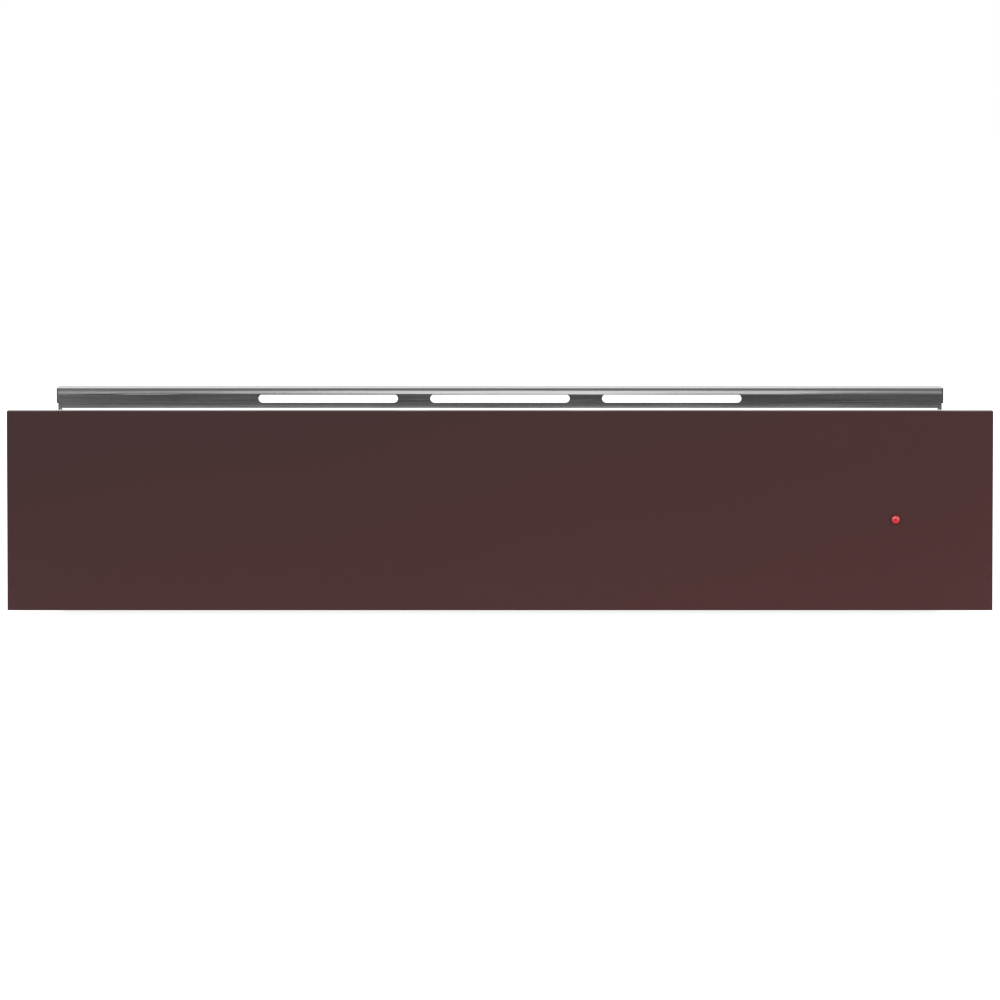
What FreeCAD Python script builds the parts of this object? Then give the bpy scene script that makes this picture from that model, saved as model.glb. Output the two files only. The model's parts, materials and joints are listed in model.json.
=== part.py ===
import FreeCAD, Part
import math
import operator
import os
import Sketcher

# Warming drawer for a 14 cm kitchen niche, 595 mm wide, opened by a push on its front.
# Frame: X to the right, Y to the back, Z up, millimetres. The origin lies on the floor, in the middle
# of the width and depth. The front panel faces -Y, and the drawer comes out towards -Y.

doc = FreeCAD.newDocument("WarmingDrawer")
sheet = doc.addObject("Spreadsheet::Sheet", "Sizes")

# Driving sizes, one row each: alias, millimetres (or a count or degrees), what it is
DRIVING_SIZES = [
    ("total_depth", "562.7", "from the pilot lamp's tip to the rear of the mains grommet"),
    ("panel_width", "595", "front panel, side to side"),
    ("panel_height", "120.4", "front panel, top to bottom"),
    ("panel_depth", "20", "front panel, front to back"),
    ("panel_sheet", "1", "steel of the front panel and of its back plate"),
    ("panel_edge", "0.3", "broken front edges of the front panel"),
    ("floor_gap", "3", "free height below the front panel"),
    ("frame_play", "0.3", "gap between the panel's sides and its back plate"),
    ("frame_fold", "12", "folded edge of the panel's back plate"),
    ("lamp_inset", "15.3", "pilot lamp, inside the tub's outer side"),
    ("lamp_height", "54.9", "pilot lamp above the panel's lower edge"),
    ("lens_diameter", "5.2", "red lens of the pilot lamp"),
    ("lens_proud", "1.2", "how far the lens stands out of the panel"),
    ("lamp_ring", "0.5", "wall of the lamp holder that shows round the lens"),
    ("lamp_body_diameter", "12", "lamp holder behind the panel's sheet"),
    ("lamp_body_length", "28", "lamp holder, from the back of the panel's sheet"),
    ("small_play", "0.05", "running clearance round shafts and pins, on the radius"),
    ("case_width", "536", "housing, outside to outside of its side walls"),
    ("case_height", "92", "top of the side and rear walls above the floor"),
    ("case_sheet", "1", "steel of the housing"),
    ("foot_height", "2", "rubber feet below the base"),
    ("foot_side", "24", "rubber feet"),
    ("foot_inset", "40", "feet from the housing's edges"),
    ("base_lip", "14", "folded edges of the base"),
    ("wall_lip", "14", "folded edges of the rear wall"),
    ("rail_gap", "4", "from the back of the panel to the front of the rail"),
    ("rail_width", "538", "front rail, outside to outside of its end lips"),
    ("rail_rise", "12.5", "top of the rail above the top of the panel"),
    ("rail_sheet", "1", "polished steel of the rail"),
    ("rail_depth", "32", "top of the rail, front to back"),
    ("rail_drop", "11.9", "front of the rail, top to bottom"),
    ("rail_end_drop", "9.2", "end lips of the rail, top to bottom"),
    ("rail_end_step", "1.2", "how far the end lips stand out past the rail's front"),
    ("rail_bend", "3.9", "outer radius of the rail's front bend"),
    ("rail_hem", "4.5", "folded rear edge of the rail"),
    ("rail_slot_length", "84.4", "slots in the rail's front"),
    ("rail_slot_height", "5", "slots in the rail's front"),
    ("rail_slot_pitch", "104.1", "from slot to slot"),
    ("rail_slot_drop", "6.1", "middle of the slots below the top of the rail"),
    ("ear_setback", "4.2", "ears of the side walls behind the rail's front"),
    ("ear_depth", "26.3", "ears of the side walls, front to back"),
    ("ear_tab", "14", "folded top of the ears"),
    ("mount_hole_diameter", "4.5", "fixing holes in the ears"),
    ("mount_hole_pitch", "20", "between the two fixing holes of an ear"),
    ("mount_hole_height", "101", "lower fixing hole above the floor"),
    ("mount_hole_setback", "17", "fixing holes behind the housing's front"),
    ("vent_length", "30", "air slots in the walls and the base"),
    ("vent_height", "3.5", "air slots in the walls and the base"),
    ("vent_pitch", "42", "from air slot to air slot"),
    ("travel", "420", "how far the drawer comes out"),
    ("push", "3", "how far the closed drawer can be pushed in to let the latch go"),
    ("runner_length", "450", "each member of the runners"),
    ("runner_height", "46", "outer member of the runners"),
    ("runner_width", "12.8", "closed runner, from wall to drawer"),
    ("runner_centre", "46", "middle of the runners above the floor"),
    ("runner_setback", "3", "runners behind the housing's front"),
    ("runner_web", "1.4", "sheet of the runners' webs"),
    ("runner_flange", "2.2", "grooved flanges of the outer and middle members"),
    ("inner_flange", "1.8", "grooved flanges of the inner members"),
    ("outer_reach", "11", "flanges of the outer members, from the wall"),
    ("middle_reach", "10.4", "flanges of the middle members, from the wall"),
    ("cage_reach", "10.6", "flanges of the ball cages, from the wall"),
    ("ball_diameter", "3.2", "balls of the runners"),
    ("ball_play", "0.12", "groove radius above the ball's"),
    ("groove_depth", "0.7", "ball grooves"),
    ("outer_ball_line", "6.2", "outer balls from the wall"),
    ("inner_ball_line", "7.4", "inner balls from the wall"),
    ("cage_web", "0.5", "sheet of the ball cages' webs"),
    ("cage_flange", "0.6", "sheet of the ball cages' flanges"),
    ("cage_play", "0.25", "gap on each side of a cage's web"),
    ("cage_margin", "6", "spare length of the ball races at each end"),
    ("cage_window", "0.15", "gap round a ball in its window"),
    ("tub_bottom", "8", "underside of the drawer tub above the floor"),
    ("tub_top", "87", "rim of the drawer tub above the floor"),
    ("latch_room", "27", "from the back of the drawer tub to the rear wall"),
    ("tub_sheet", "1", "steel of the drawer tub and its covers"),
    ("tub_lip", "8", "folded rim of the drawer tub"),
    ("tub_rear_lip", "3", "folded rim of the drawer tub at its rear"),
    ("fascia_depth", "63", "ledge behind the panel, front to back"),
    ("fascia_skirt", "56", "how far the ledge's rear edge hangs down"),
    ("rear_room", "64", "room behind the tray, front to back"),
    ("rear_cover_top", "94.2", "top of the rear cover above the floor"),
    ("cover_gap", "1", "gap round the tray's rim"),
    ("rim_width", "6", "rim of the tray"),
    ("rim_side_gap", "0.7", "tray rim inside the tub's edges"),
    ("tray_sheet", "0.8", "stainless steel of the tray"),
    ("tray_floor", "26", "underside of the tray above the floor"),
    ("tray_corner", "30", "outer radius of the tray's upright corners"),
    ("tray_bottom_edge", "7", "slant round the tray's floor"),
    ("tray_side_gap", "9.7", "tray walls inside the tub's outer sides"),
    ("mat_thickness", "2", "rubber mat on the tray's floor"),
    ("mat_gap", "11", "mat inside the tray's walls"),
    ("insulation_thickness", "7", "insulating mat under the heater"),
    ("insulation_gap", "12", "insulating mat inside the tub's walls"),
    ("reflector_sheet", "0.6", "aluminium sheet over the insulating mat"),
    ("reflector_edge", "4", "upturned edges of the aluminium sheet"),
    ("heater_diameter", "6.5", "tubular heater"),
    ("heater_pitch", "100", "from run to run of the heater"),
    ("heater_front_gap", "85", "front bends of the heater, from the front of the tub"),
    ("heater_rear_gap", "28", "rear bend of the heater, from the front of the rear cover"),
    ("heater_tail", "8", "heater ends behind the rear cover's front"),
    ("clip_sheet", "0.8", "clips over the heater"),
    ("clip_width", "10", "clips over the heater"),
    ("clip_foot", "7", "feet of the heater clips"),
    ("cutout_diameter", "15", "thermal cut-out"),
    ("cutout_height", "8.7", "thermal cut-out"),
    ("knob_from_middle", "170", "temperature knob, sideways from the middle"),
    ("control_line", "32", "knob and switch behind the panel"),
    ("knob_diameter", "34", "skirt of the temperature knob"),
    ("knob_height", "16", "temperature knob"),
    ("skirt_height", "7", "skirt of the temperature knob"),
    ("grip_width", "9", "grip bar of the temperature knob"),
    ("knob_gap", "0.4", "knob above the ledge"),
    ("spindle_diameter", "6", "spindle of the thermostat"),
    ("spindle_depth", "8", "spindle inside the knob"),
    ("thermostat_width", "32", "thermostat under the ledge"),
    ("thermostat_height", "22", "thermostat under the ledge"),
    ("bushing_diameter", "10", "threaded neck of the thermostat"),
    ("bushing_rise", "4", "threaded neck above the ledge"),
    ("switch_from_middle", "110", "rocker switch, sideways from the middle"),
    ("switch_length", "27", "rocker switch in its cut-out"),
    ("switch_width", "12.4", "rocker switch in its cut-out"),
    ("switch_depth", "18", "rocker switch below the ledge"),
    ("bezel_edge", "2", "rim of the rocker switch over the ledge"),
    ("bezel_height", "1.6", "rim of the rocker switch over the ledge"),
    ("rocker_length", "20.4", "rocker"),
    ("rocker_width", "9.4", "rocker"),
    ("rocker_tilt", "6", "rocker's angle at rest, in degrees"),
    ("fan_height", "50", "fan axis above the floor"),
    ("fan_diameter", "46", "fan wheel"),
    ("fan_length", "220", "fan wheel"),
    ("fan_blades", "12", "number of blades"),
    ("blade_depth", "5.5", "blades, from edge to edge along the radius"),
    ("blade_sheet", "0.7", "blades"),
    ("fan_disc", "1.5", "discs of the fan wheel"),
    ("fan_shaft_diameter", "5", "fan shaft"),
    ("fan_side_gap", "3", "fan wheel to the ends of its housing"),
    ("fan_gap", "3", "fan wheel to its guide"),
    ("guide_sheet", "0.8", "sheet of the fan's guide"),
    ("fan_end_sheet", "1", "ends of the fan's housing"),
    ("motor_gap", "8", "motor beside the fan's housing"),
    ("stator_length", "18", "motor's laminated stack"),
    ("stator_width", "46", "motor's laminated stack"),
    ("rotor_diameter", "25", "motor's rotor"),
    ("rotor_gap", "0.4", "rotor inside the stack"),
    ("bracket_sheet", "2.5", "motor's bearing brackets"),
    ("loom_diameter", "5", "bundle of wires along the tub"),
    ("gland_from_middle", "150", "cable gland and grommet, sideways from the middle"),
    ("gland_height", "40", "cable gland above the floor"),
    ("gland_bore", "9", "cable gland"),
    ("gland_diameter", "18", "cable gland"),
    ("grommet_height", "60", "mains grommet above the floor"),
    ("grommet_diameter", "22", "mains grommet's flanges"),
    ("grommet_lip", "1.5", "mains grommet's flanges, thickness"),
    ("latch_height", "54", "striker pin above the floor"),
    ("striker_reach", "12", "striker pin behind the tub"),
    ("striker_diameter", "5", "striker pin"),
    ("striker_width", "14", "striker bracket, outside its cheeks"),
    ("bracket_wall", "1.5", "striker bracket's sheet"),
    ("latch_play", "0.3", "hook to striker pin"),
    ("hook_thickness", "6", "latch hook"),
    ("hook_wall", "2.3", "nose of the latch hook"),
    ("pivot_reach", "9.5", "hook pivot behind the striker pin"),
    ("pivot_drop", "8", "hook pivot below the striker pin"),
    ("pivot_diameter", "4", "hook pivot pin"),
    ("latch_width", "22.4", "latch case"),
    ("latch_sheet", "1.2", "latch case"),
    ("spring_from_middle", "60", "eject spring, sideways from the middle"),
    ("spring_radius", "5", "middle of the eject spring's wire"),
    ("spring_wire", "1.2", "eject spring's wire"),
    ("spring_turns", "3", "eject spring's turns when the drawer is closed"),
    ("spring_seat_gap", "0.3", "spring's ends to what they push on"),
    ("guide_diameter", "6.8", "rod inside the eject spring"),
    ("guide_flange", "1.5", "foot of the rod inside the eject spring"),
    ("buffer_diameter", "14", "rubber buffers on the rear wall"),
    ("buffer_from_middle", "205", "rubber buffers, sideways from the middle"),
    ("buffer_gap", "0.4", "what is left to the buffers when the drawer is pushed in"),
]
for row, (alias, value, note) in enumerate(DRIVING_SIZES, start=1):
    sheet.set(f"A{row}", note)
    sheet.set(f"B{row}", value)
    sheet.setAlias(f"B{row}", alias)
doc.recompute()


# A number that remembers the sheet formula it comes from, so that every place and size made with it
# stays bound to the driving sizes.
class Size:
    def __init__(self, number, formula):
        self.number = number
        self.formula = formula

    def __add__(self, other):
        return combine(operator.add, "+", self, other)

    def __radd__(self, other):
        return combine(operator.add, "+", other, self)

    def __sub__(self, other):
        return combine(operator.sub, "-", self, other)

    def __rsub__(self, other):
        return combine(operator.sub, "-", other, self)

    def __mul__(self, other):
        return combine(operator.mul, "*", self, other)

    def __rmul__(self, other):
        return combine(operator.mul, "*", other, self)

    def __truediv__(self, other):
        return combine(operator.truediv, "/", self, other)

    def __neg__(self):
        return combine(operator.mul, "*", self, -1)

    def __float__(self):
        return float(self.number)


def as_size(thing):
    if isinstance(thing, Size):
        return thing
    return Size(float(thing), f"({float(thing)})")


def combine(work, sign, first, second):
    first, second = as_size(first), as_size(second)
    return Size(work(first.number, second.number), f"({first.formula} {sign} {second.formula})")


class Sheet:
    """The driving sizes by name: s.travel is the number in the cell with the alias travel."""


s = Sheet()
for alias, value, note in DRIVING_SIZES:
    setattr(s, alias, Size(float(value), f"Sizes.{alias}"))

# Planes and heights that several pieces share
back = s.total_depth / 2 - s.grommet_lip
front = s.lens_proud - s.total_depth / 2
panel_back = front + s.panel_depth
panel_top = s.floor_gap + s.panel_height
lamp_z = s.floor_gap + s.lamp_height
case_front = panel_back + s.rail_gap
wall_outside = s.case_width / 2
wall_inside = wall_outside - s.case_sheet
back_inside = back - s.case_sheet
base_top = s.foot_height + s.case_sheet
rail_top = panel_top + s.rail_rise
rail_under = rail_top - s.rail_sheet
tub_side = wall_inside - s.runner_width
tub_back = back_inside - s.latch_room
tub_floor = s.tub_bottom + s.tub_sheet
tub_inside = tub_side - s.tub_sheet
lamp_x = tub_side - s.lamp_inset
fascia_top = s.tub_top + s.tub_sheet
rim_front = panel_back + s.fascia_depth + s.cover_gap
rim_back = tub_back - s.rear_room - s.cover_gap
rear_front = tub_back - s.rear_room
rear_wall_back = rear_front + s.tub_sheet
heater_front = panel_back + s.heater_front_gap
heater_back = rear_front - s.heater_rear_gap
rim_top = s.tub_top + s.tray_sheet
tray_front = rim_front + s.rim_width
tray_back = rim_back - s.rim_width
tray_side = tub_side - s.tray_side_gap
lip_clearance = 0.7
shelf_side = tub_side - s.tub_lip - lip_clearance
control_y = panel_back + s.control_line
fan_y = (rear_wall_back + tub_back - s.tub_sheet) / 2
runner_front = case_front + s.runner_setback
runner_back = runner_front + s.runner_length

# Sections of the runners, as heights from the runner's middle and distances from the wall
groove_radius = s.ball_diameter / 2 + s.ball_play
groove_set = groove_radius - s.groove_depth
outer_face = s.runner_height / 2 - s.runner_flange
outer_ball = outer_face - groove_set
middle_top = outer_ball - groove_set
middle_face = middle_top - s.runner_flange
inner_ball = middle_face - groove_set
inner_top = inner_ball - groove_set
outer_cage_web = s.runner_web + s.cage_play
middle_web = outer_cage_web + s.cage_web + s.cage_play
inner_cage_web = middle_web + s.runner_web + s.cage_play
inner_tip = inner_cage_web + s.cage_web + s.cage_play
cage_front = runner_front + s.travel / 4 + s.cage_margin
cage_length = s.runner_length - s.travel / 2 - s.cage_margin * 2

nodes = {}


def vector(x, y, z):
    return FreeCAD.Vector(float(x), float(y), float(z))


def keep(name, thing):
    """Names the finished sub-part and puts it on the list of files."""
    thing.Label = name
    nodes[name] = thing
    return thing


def new_body(name):
    body = doc.addObject("PartDesign::Body", name)
    return keep(name, body)


class Outline:
    """A closed line of straight edges through the given corners."""

    def __init__(self, *corners):
        self.corners = [(as_size(a), as_size(b)) for a, b in corners]

    def draw(self, sketch):
        count = len(self.corners)
        spots = [vector(a, b, 0) for a, b in self.corners]
        lines = [Part.LineSegment(spots[i], spots[(i + 1) % count]) for i in range(count)]
        first = sketch.GeometryCount
        sketch.addGeometry(lines, False)
        joints = [
            Sketcher.Constraint("Coincident", first + i, 2, first + (i + 1) % count, 1)
            for i in range(count)
        ]
        sketch.addConstraint(joints)
        for i, (a, b) in enumerate(self.corners):
            pin_point(sketch, first + i, 1, a, b)


def Rectangle(left, right, low, high):
    return Outline((left, low), (right, low), (right, high), (left, high))


def Polygon(a, b, reach, corners):
    """A flat-sided outline round a point, the first corner sideways at the given reach."""
    turns = [2 * math.pi * k / corners for k in range(corners)]
    return Outline(*[(a + reach * math.cos(t), b + reach * math.sin(t)) for t in turns])


class Circle:
    def __init__(self, a, b, diameter):
        self.a, self.b, self.diameter = as_size(a), as_size(b), as_size(diameter)

    def draw(self, sketch):
        first = sketch.GeometryCount
        radius = float(self.diameter) / 2
        circle = Part.Circle(vector(self.a, self.b, 0), FreeCAD.Vector(0, 0, 1), radius)
        sketch.addGeometry(circle, False)
        pin_point(sketch, first, 3, self.a, self.b)
        bind_constraint(sketch, Sketcher.Constraint("Diameter", first, radius * 2), self.diameter)


class Slot:
    """A lying slot with round ends."""

    def __init__(self, a, b, length, height):
        self.a, self.b = as_size(a), as_size(b)
        self.length, self.height = as_size(length), as_size(height)

    def draw(self, sketch):
        first = sketch.GeometryCount
        radius = float(self.height) / 2
        reach = (self.length - self.height) / 2
        right, left = self.a + reach, self.a - reach
        add_arc(sketch, right, self.b, radius, -90)
        add_line(sketch, right, self.b + radius, left, self.b + radius)
        add_arc(sketch, left, self.b, radius, 90, sweep=180)
        add_line(sketch, left, self.b - radius, right, self.b - radius)
        for i in range(4):
            sketch.addConstraint(
                Sketcher.Constraint("Tangent", first + i, 2, first + (i + 1) % 4, 1)
            )
        sketch.addConstraint(Sketcher.Constraint("Horizontal", first + 1))
        pin_point(sketch, first, 3, right, self.b)
        pin_point(sketch, first + 2, 3, left, self.b)
        bind_constraint(
            sketch, Sketcher.Constraint("Diameter", first, radius * 2), self.height
        )


class RoundedRectangle:
    def __init__(self, left, right, low, high, radius):
        self.left, self.right = as_size(left), as_size(right)
        self.low, self.high = as_size(low), as_size(high)
        self.radius = as_size(radius)

    def draw(self, sketch):
        first = sketch.GeometryCount
        r = self.radius
        centres = [
            (self.right - r, self.low + r),
            (self.right - r, self.high - r),
            (self.left + r, self.high - r),
            (self.left + r, self.low + r),
        ]
        add_arc(sketch, *centres[0], r, -90, sweep=90)
        add_line(sketch, self.right, centres[0][1], self.right, centres[1][1])
        add_arc(sketch, *centres[1], r, 0, sweep=90)
        add_line(sketch, centres[1][0], self.high, centres[2][0], self.high)
        add_arc(sketch, *centres[2], r, 90, sweep=90)
        add_line(sketch, self.left, centres[2][1], self.left, centres[3][1])
        add_arc(sketch, *centres[3], r, 180, sweep=90)
        add_line(sketch, centres[3][0], self.low, centres[0][0], self.low)
        for i in range(8):
            sketch.addConstraint(
                Sketcher.Constraint("Tangent", first + i, 2, first + (i + 1) % 8, 1)
            )
        sketch.addConstraint(Sketcher.Constraint("Vertical", first + 1))
        sketch.addConstraint(Sketcher.Constraint("Horizontal", first + 3))
        sketch.addConstraint(Sketcher.Constraint("Vertical", first + 5))
        for i, (a, b) in enumerate(centres):
            pin_point(sketch, first + 2 * i, 3, a, b)
        bind_constraint(sketch, Sketcher.Constraint("Radius", first, float(r)), r)


def add_line(sketch, a0, b0, a1, b1):
    sketch.addGeometry(Part.LineSegment(vector(a0, b0, 0), vector(a1, b1, 0)), False)


def add_arc(sketch, a, b, radius, start, sweep=180):
    circle = Part.Circle(vector(a, b, 0), FreeCAD.Vector(0, 0, 1), float(radius))
    begin, end = math.radians(start), math.radians(start + sweep)
    sketch.addGeometry(Part.ArcOfCircle(circle, begin, end), False)


def bind_constraint(sketch, constraint, size):
    number = sketch.addConstraint(constraint)
    sketch.setExpression(f"Constraints[{number}]", size.formula)


def pin_point(sketch, geometry, point, a, b):
    """Ties one point of a sketch to the origin with two bound distances."""
    across = Sketcher.Constraint("DistanceX", -1, 1, geometry, point, a.number)
    bind_constraint(sketch, across, a)
    along = Sketcher.Constraint("DistanceY", -1, 1, geometry, point, b.number)
    bind_constraint(sketch, along, b)


def sketch_on(body, plane, offset, shapes):
    """A sketch on one of the body's own planes. XZ looks along -Y, so its offset counts that way."""
    sketch = body.newObject("Sketcher::SketchObject", f"{body.Name}_sketch")
    support = next(p for p in body.Origin.OriginFeatures if p.Role == f"{plane}_Plane")
    sketch.AttachmentSupport = [(support, "")]
    sketch.MapMode = "FlatFace"
    sketch.setExpression("AttachmentOffset.Base.z", as_size(offset).formula)
    for shape in shapes:
        shape.draw(sketch)
    return sketch


def pad(body, plane, low, high, *shapes):
    """Material between two parallel planes, named by their places along the plane's axis."""
    low, high = as_size(low), as_size(high)
    sketch = sketch_on(body, plane, -high if plane == "XZ" else low, shapes)
    feature = body.newObject("PartDesign::Pad", f"{body.Name}_pad")
    feature.Profile = sketch
    feature.setExpression("Length", (high - low).formula)
    return feature


def pocket(body, plane, low, high, *shapes):
    """Takes away the material between two parallel planes."""
    low, high = as_size(low), as_size(high)
    sketch = sketch_on(body, plane, -low if plane == "XZ" else high, shapes)
    feature = body.newObject("PartDesign::Pocket", f"{body.Name}_pocket")
    feature.Profile = sketch
    feature.setExpression("Length", (high - low).formula)
    return feature


def revolve(body, *profile):
    """Turns a half section, given as (radius, height) corners, about the body's Z axis."""
    sketch = sketch_on(body, "XZ", 0, [Outline(*profile)])
    feature = body.newObject("PartDesign::Revolution", f"{body.Name}_turned")
    feature.Profile = sketch
    feature.ReferenceAxis = (sketch, ["V_Axis"])
    feature.Angle = 360
    return feature


def fillet(body, radius, wanted):
    """Rounds the edges of the body's latest shape that wanted(edge) picks."""
    doc.recompute()
    base = body.Tip
    names = [f"Edge{i}" for i, edge in enumerate(base.Shape.Edges, start=1) if wanted(edge)]
    feature = body.newObject("PartDesign::Fillet", f"{body.Name}_fillet")
    feature.Base = (base, names)
    feature.setExpression("Radius", as_size(radius).formula)
    return feature


def chamfer(body, size, wanted):
    """Breaks the edges of the body's latest shape that wanted(edge) picks."""
    doc.recompute()
    base = body.Tip
    names = [f"Edge{i}" for i, edge in enumerate(base.Shape.Edges, start=1) if wanted(edge)]
    feature = body.newObject("PartDesign::Chamfer", f"{body.Name}_chamfer")
    feature.Base = (base, names)
    feature.setExpression("Size", as_size(size).formula)
    return feature


def hollow(body, wall, wanted):
    """Turns the body's latest solid into a sheet, open where wanted(face) picks."""
    doc.recompute()
    base = body.Tip
    names = [f"Face{i}" for i, face in enumerate(base.Shape.Faces, start=1) if wanted(face)]
    feature = body.newObject("PartDesign::Thickness", f"{body.Name}_sheet")
    feature.Base = (base, names)
    feature.setExpression("Value", as_size(wall).formula)
    feature.Reversed = True
    feature.Join = "Intersection"
    return feature


def near(a, b):
    return abs(float(a) - float(b)) < 0.01


def place(thing, x, y, z, axis=None, angle=0):
    """Puts a piece at a bound place, turned about one axis by a bound angle."""
    thing.setExpression("Placement.Base.x", as_size(x).formula)
    thing.setExpression("Placement.Base.y", as_size(y).formula)
    thing.setExpression("Placement.Base.z", as_size(z).formula)
    if axis is not None:
        turn = FreeCAD.Rotation(FreeCAD.Vector(*axis), float(angle))
        thing.Placement = FreeCAD.Placement(vector(x, y, z), turn)


def cylinder(diameter, height, x, y, z, axis=None, angle=0):
    """A plain pin that starts at a place and runs along +Z, or along that axis turned."""
    pin = doc.addObject("Part::Cylinder", "pin")
    pin.setExpression("Radius", (as_size(diameter) / 2).formula)
    pin.setExpression("Height", as_size(height).formula)
    place(pin, x, y, z, axis, angle)
    return pin


def box(x0, x1, y0, y1, z0, z1):
    """A plain block between two planes each way."""
    thing = doc.addObject("Part::Box", "block")
    for name, low, high in (("Length", x0, x1), ("Width", y0, y1), ("Height", z0, z1)):
        thing.setExpression(name, (as_size(high) - as_size(low)).formula)
    place(thing, x0, y0, z0)
    return thing


def group(name, members):
    """Several equal pieces under one name, each still a solid of its own."""
    compound = doc.addObject("Part::Compound", name)
    compound.Links = members
    return keep(name, compound)


def shaped(name, shape):
    """A piece whose form is worked out with Part's own functions from the same sizes."""
    feature = doc.addObject("Part::Feature", name)
    feature.Shape = shape
    return keep(name, feature)


def sided(side, inner, outer):
    """The low and high X of a layer between two distances from the middle, on one side."""
    return (inner, outer) if side > 0 else (-outer, -inner)


SIDES = (("left", -1), ("right", 1))
LIES_BACK = ((1, 0, 0), -90)
LIES_RIGHT = ((0, 1, 0), 90)


# Front panel: a pan of painted sheet, open at the back, with a hole for the pilot lamp
def make_front_panel():
    body = new_body("front_panel")
    half = s.panel_width / 2
    pad(body, "XZ", front, panel_back, Rectangle(-half, half, s.floor_gap, panel_top))
    chamfer(body, s.panel_edge, lambda edge: near(edge.BoundBox.YMax, front))
    inside = half - s.panel_sheet
    hollow = Rectangle(-inside, inside, s.floor_gap + s.panel_sheet, panel_top - s.panel_sheet)
    pocket(body, "XZ", front + s.panel_sheet, panel_back, hollow)
    hole = s.lens_diameter + s.lamp_ring * 2 + s.small_play * 4
    pocket(body, "XZ", front, front + s.panel_sheet, Circle(lamp_x, lamp_z, hole))


# Back plate of the front panel: a shallow pan turned the other way, nested in the panel's sides
def make_front_frame():
    body = new_body("front_frame")
    side = s.panel_width / 2 - s.panel_sheet - s.frame_play
    low = s.floor_gap + s.panel_sheet + s.frame_play
    high = panel_top - s.panel_sheet - s.frame_play
    fold = panel_back - s.frame_fold
    pad(body, "XZ", fold, panel_back, Rectangle(-side, side, low, high))
    inner = Rectangle(
        s.panel_sheet - side, side - s.panel_sheet, low + s.panel_sheet, high - s.panel_sheet
    )
    pocket(body, "XZ", fold, panel_back - s.panel_sheet, inner)
    lamp_hole = Circle(lamp_x, lamp_z, s.lamp_body_diameter + s.frame_play * 2)
    pocket(body, "XZ", panel_back - s.panel_sheet, panel_back, lamp_hole)


# Deadening board that fills the panel between its front sheet and its back plate
def make_panel_filler():
    body = new_body("panel_filler")
    rim = s.panel_sheet * 2 + s.frame_play * 2
    half = s.panel_width / 2 - rim
    low, high = s.floor_gap + rim, panel_top - rim
    board = Rectangle(-half, half, low, high)
    pad(body, "XZ", front + s.panel_sheet, panel_back - s.panel_sheet, board)
    lamp_hole = Circle(lamp_x, lamp_z, s.lamp_body_diameter + s.frame_play * 2)
    pocket(body, "XZ", front + s.panel_sheet, panel_back - s.panel_sheet, lamp_hole)


# Pilot lamp: a turned holder whose front edge shows as a thin ring, and the red lens in it
def make_pilot_lamp():
    ring = s.lens_diameter / 2 + s.lamp_ring
    bore = s.lens_diameter / 2 + s.small_play
    body_radius = s.lamp_body_diameter / 2
    sheet_back = -s.panel_sheet
    tail = sheet_back - s.lamp_body_length
    seat = sheet_back - s.panel_depth / 2
    holder = new_body("lamp_body")
    revolve(
        holder,
        (0, seat), (bore, seat), (bore, 0), (ring, 0), (ring, sheet_back),
        (body_radius, sheet_back), (body_radius, tail), (0, tail),
    )
    place(holder, lamp_x, front, lamp_z, (1, 0, 0), 90)
    lens = doc.addObject("PartDesign::Body", "lamp_lens")
    keep("lamp_lens", lens)
    lens_radius = s.lens_diameter / 2
    shoulder = s.lens_proud / 2
    revolve(
        lens, (0, seat), (lens_radius, seat), (lens_radius, shoulder),
        (lens_radius * 0.6, s.lens_proud), (0, s.lens_proud),
    )
    place(lens, lamp_x, front, lamp_z, (1, 0, 0), 90)


# Front rail: bent from polished sheet, three slots in its front, lips at its ends, a folded rear edge
def make_front_rail():
    body = new_body("front_rail")
    half = s.rail_width / 2
    rail_back = case_front + s.rail_depth
    front_half = half - s.rail_end_step
    bend_in = case_front + s.rail_sheet
    section = Outline(
        (case_front, rail_top - s.rail_drop), (case_front, rail_top), (rail_back, rail_top),
        (rail_back, rail_top - s.rail_hem), (rail_back - s.rail_sheet, rail_top - s.rail_hem),
        (rail_back - s.rail_sheet, rail_under), (bend_in, rail_under),
        (bend_in, rail_top - s.rail_drop),
    )
    pad(body, "YZ", -front_half, front_half, section)
    fillet(
        body, s.rail_bend,
        lambda edge: near(edge.BoundBox.YMax, case_front) and near(edge.BoundBox.ZMin, rail_top),
    )
    fillet(
        body, s.rail_bend - s.rail_sheet,
        lambda edge: near(edge.BoundBox.YMin, bend_in) and near(edge.BoundBox.YMax, bend_in)
        and near(edge.BoundBox.ZMin, rail_under),
    )
    for side in (-1, 1):
        low, high = sided(side, half - s.rail_sheet, half)
        lip = Rectangle(low, high, rail_top - s.rail_end_drop, rail_top)
        pad(body, "XZ", case_front + s.rail_bend, rail_back, lip)
        low, high = sided(side, front_half - s.rail_bend, half)
        pad(body, "XZ", case_front + s.rail_bend, rail_back, Rectangle(low, high, rail_under, rail_top))
    slots = [
        Slot(s.rail_slot_pitch * k, rail_top - s.rail_slot_drop, s.rail_slot_length, s.rail_slot_height)
        for k in (-1, 0, 1)
    ]
    pocket(body, "XZ", case_front, bend_in, *slots)


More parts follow.
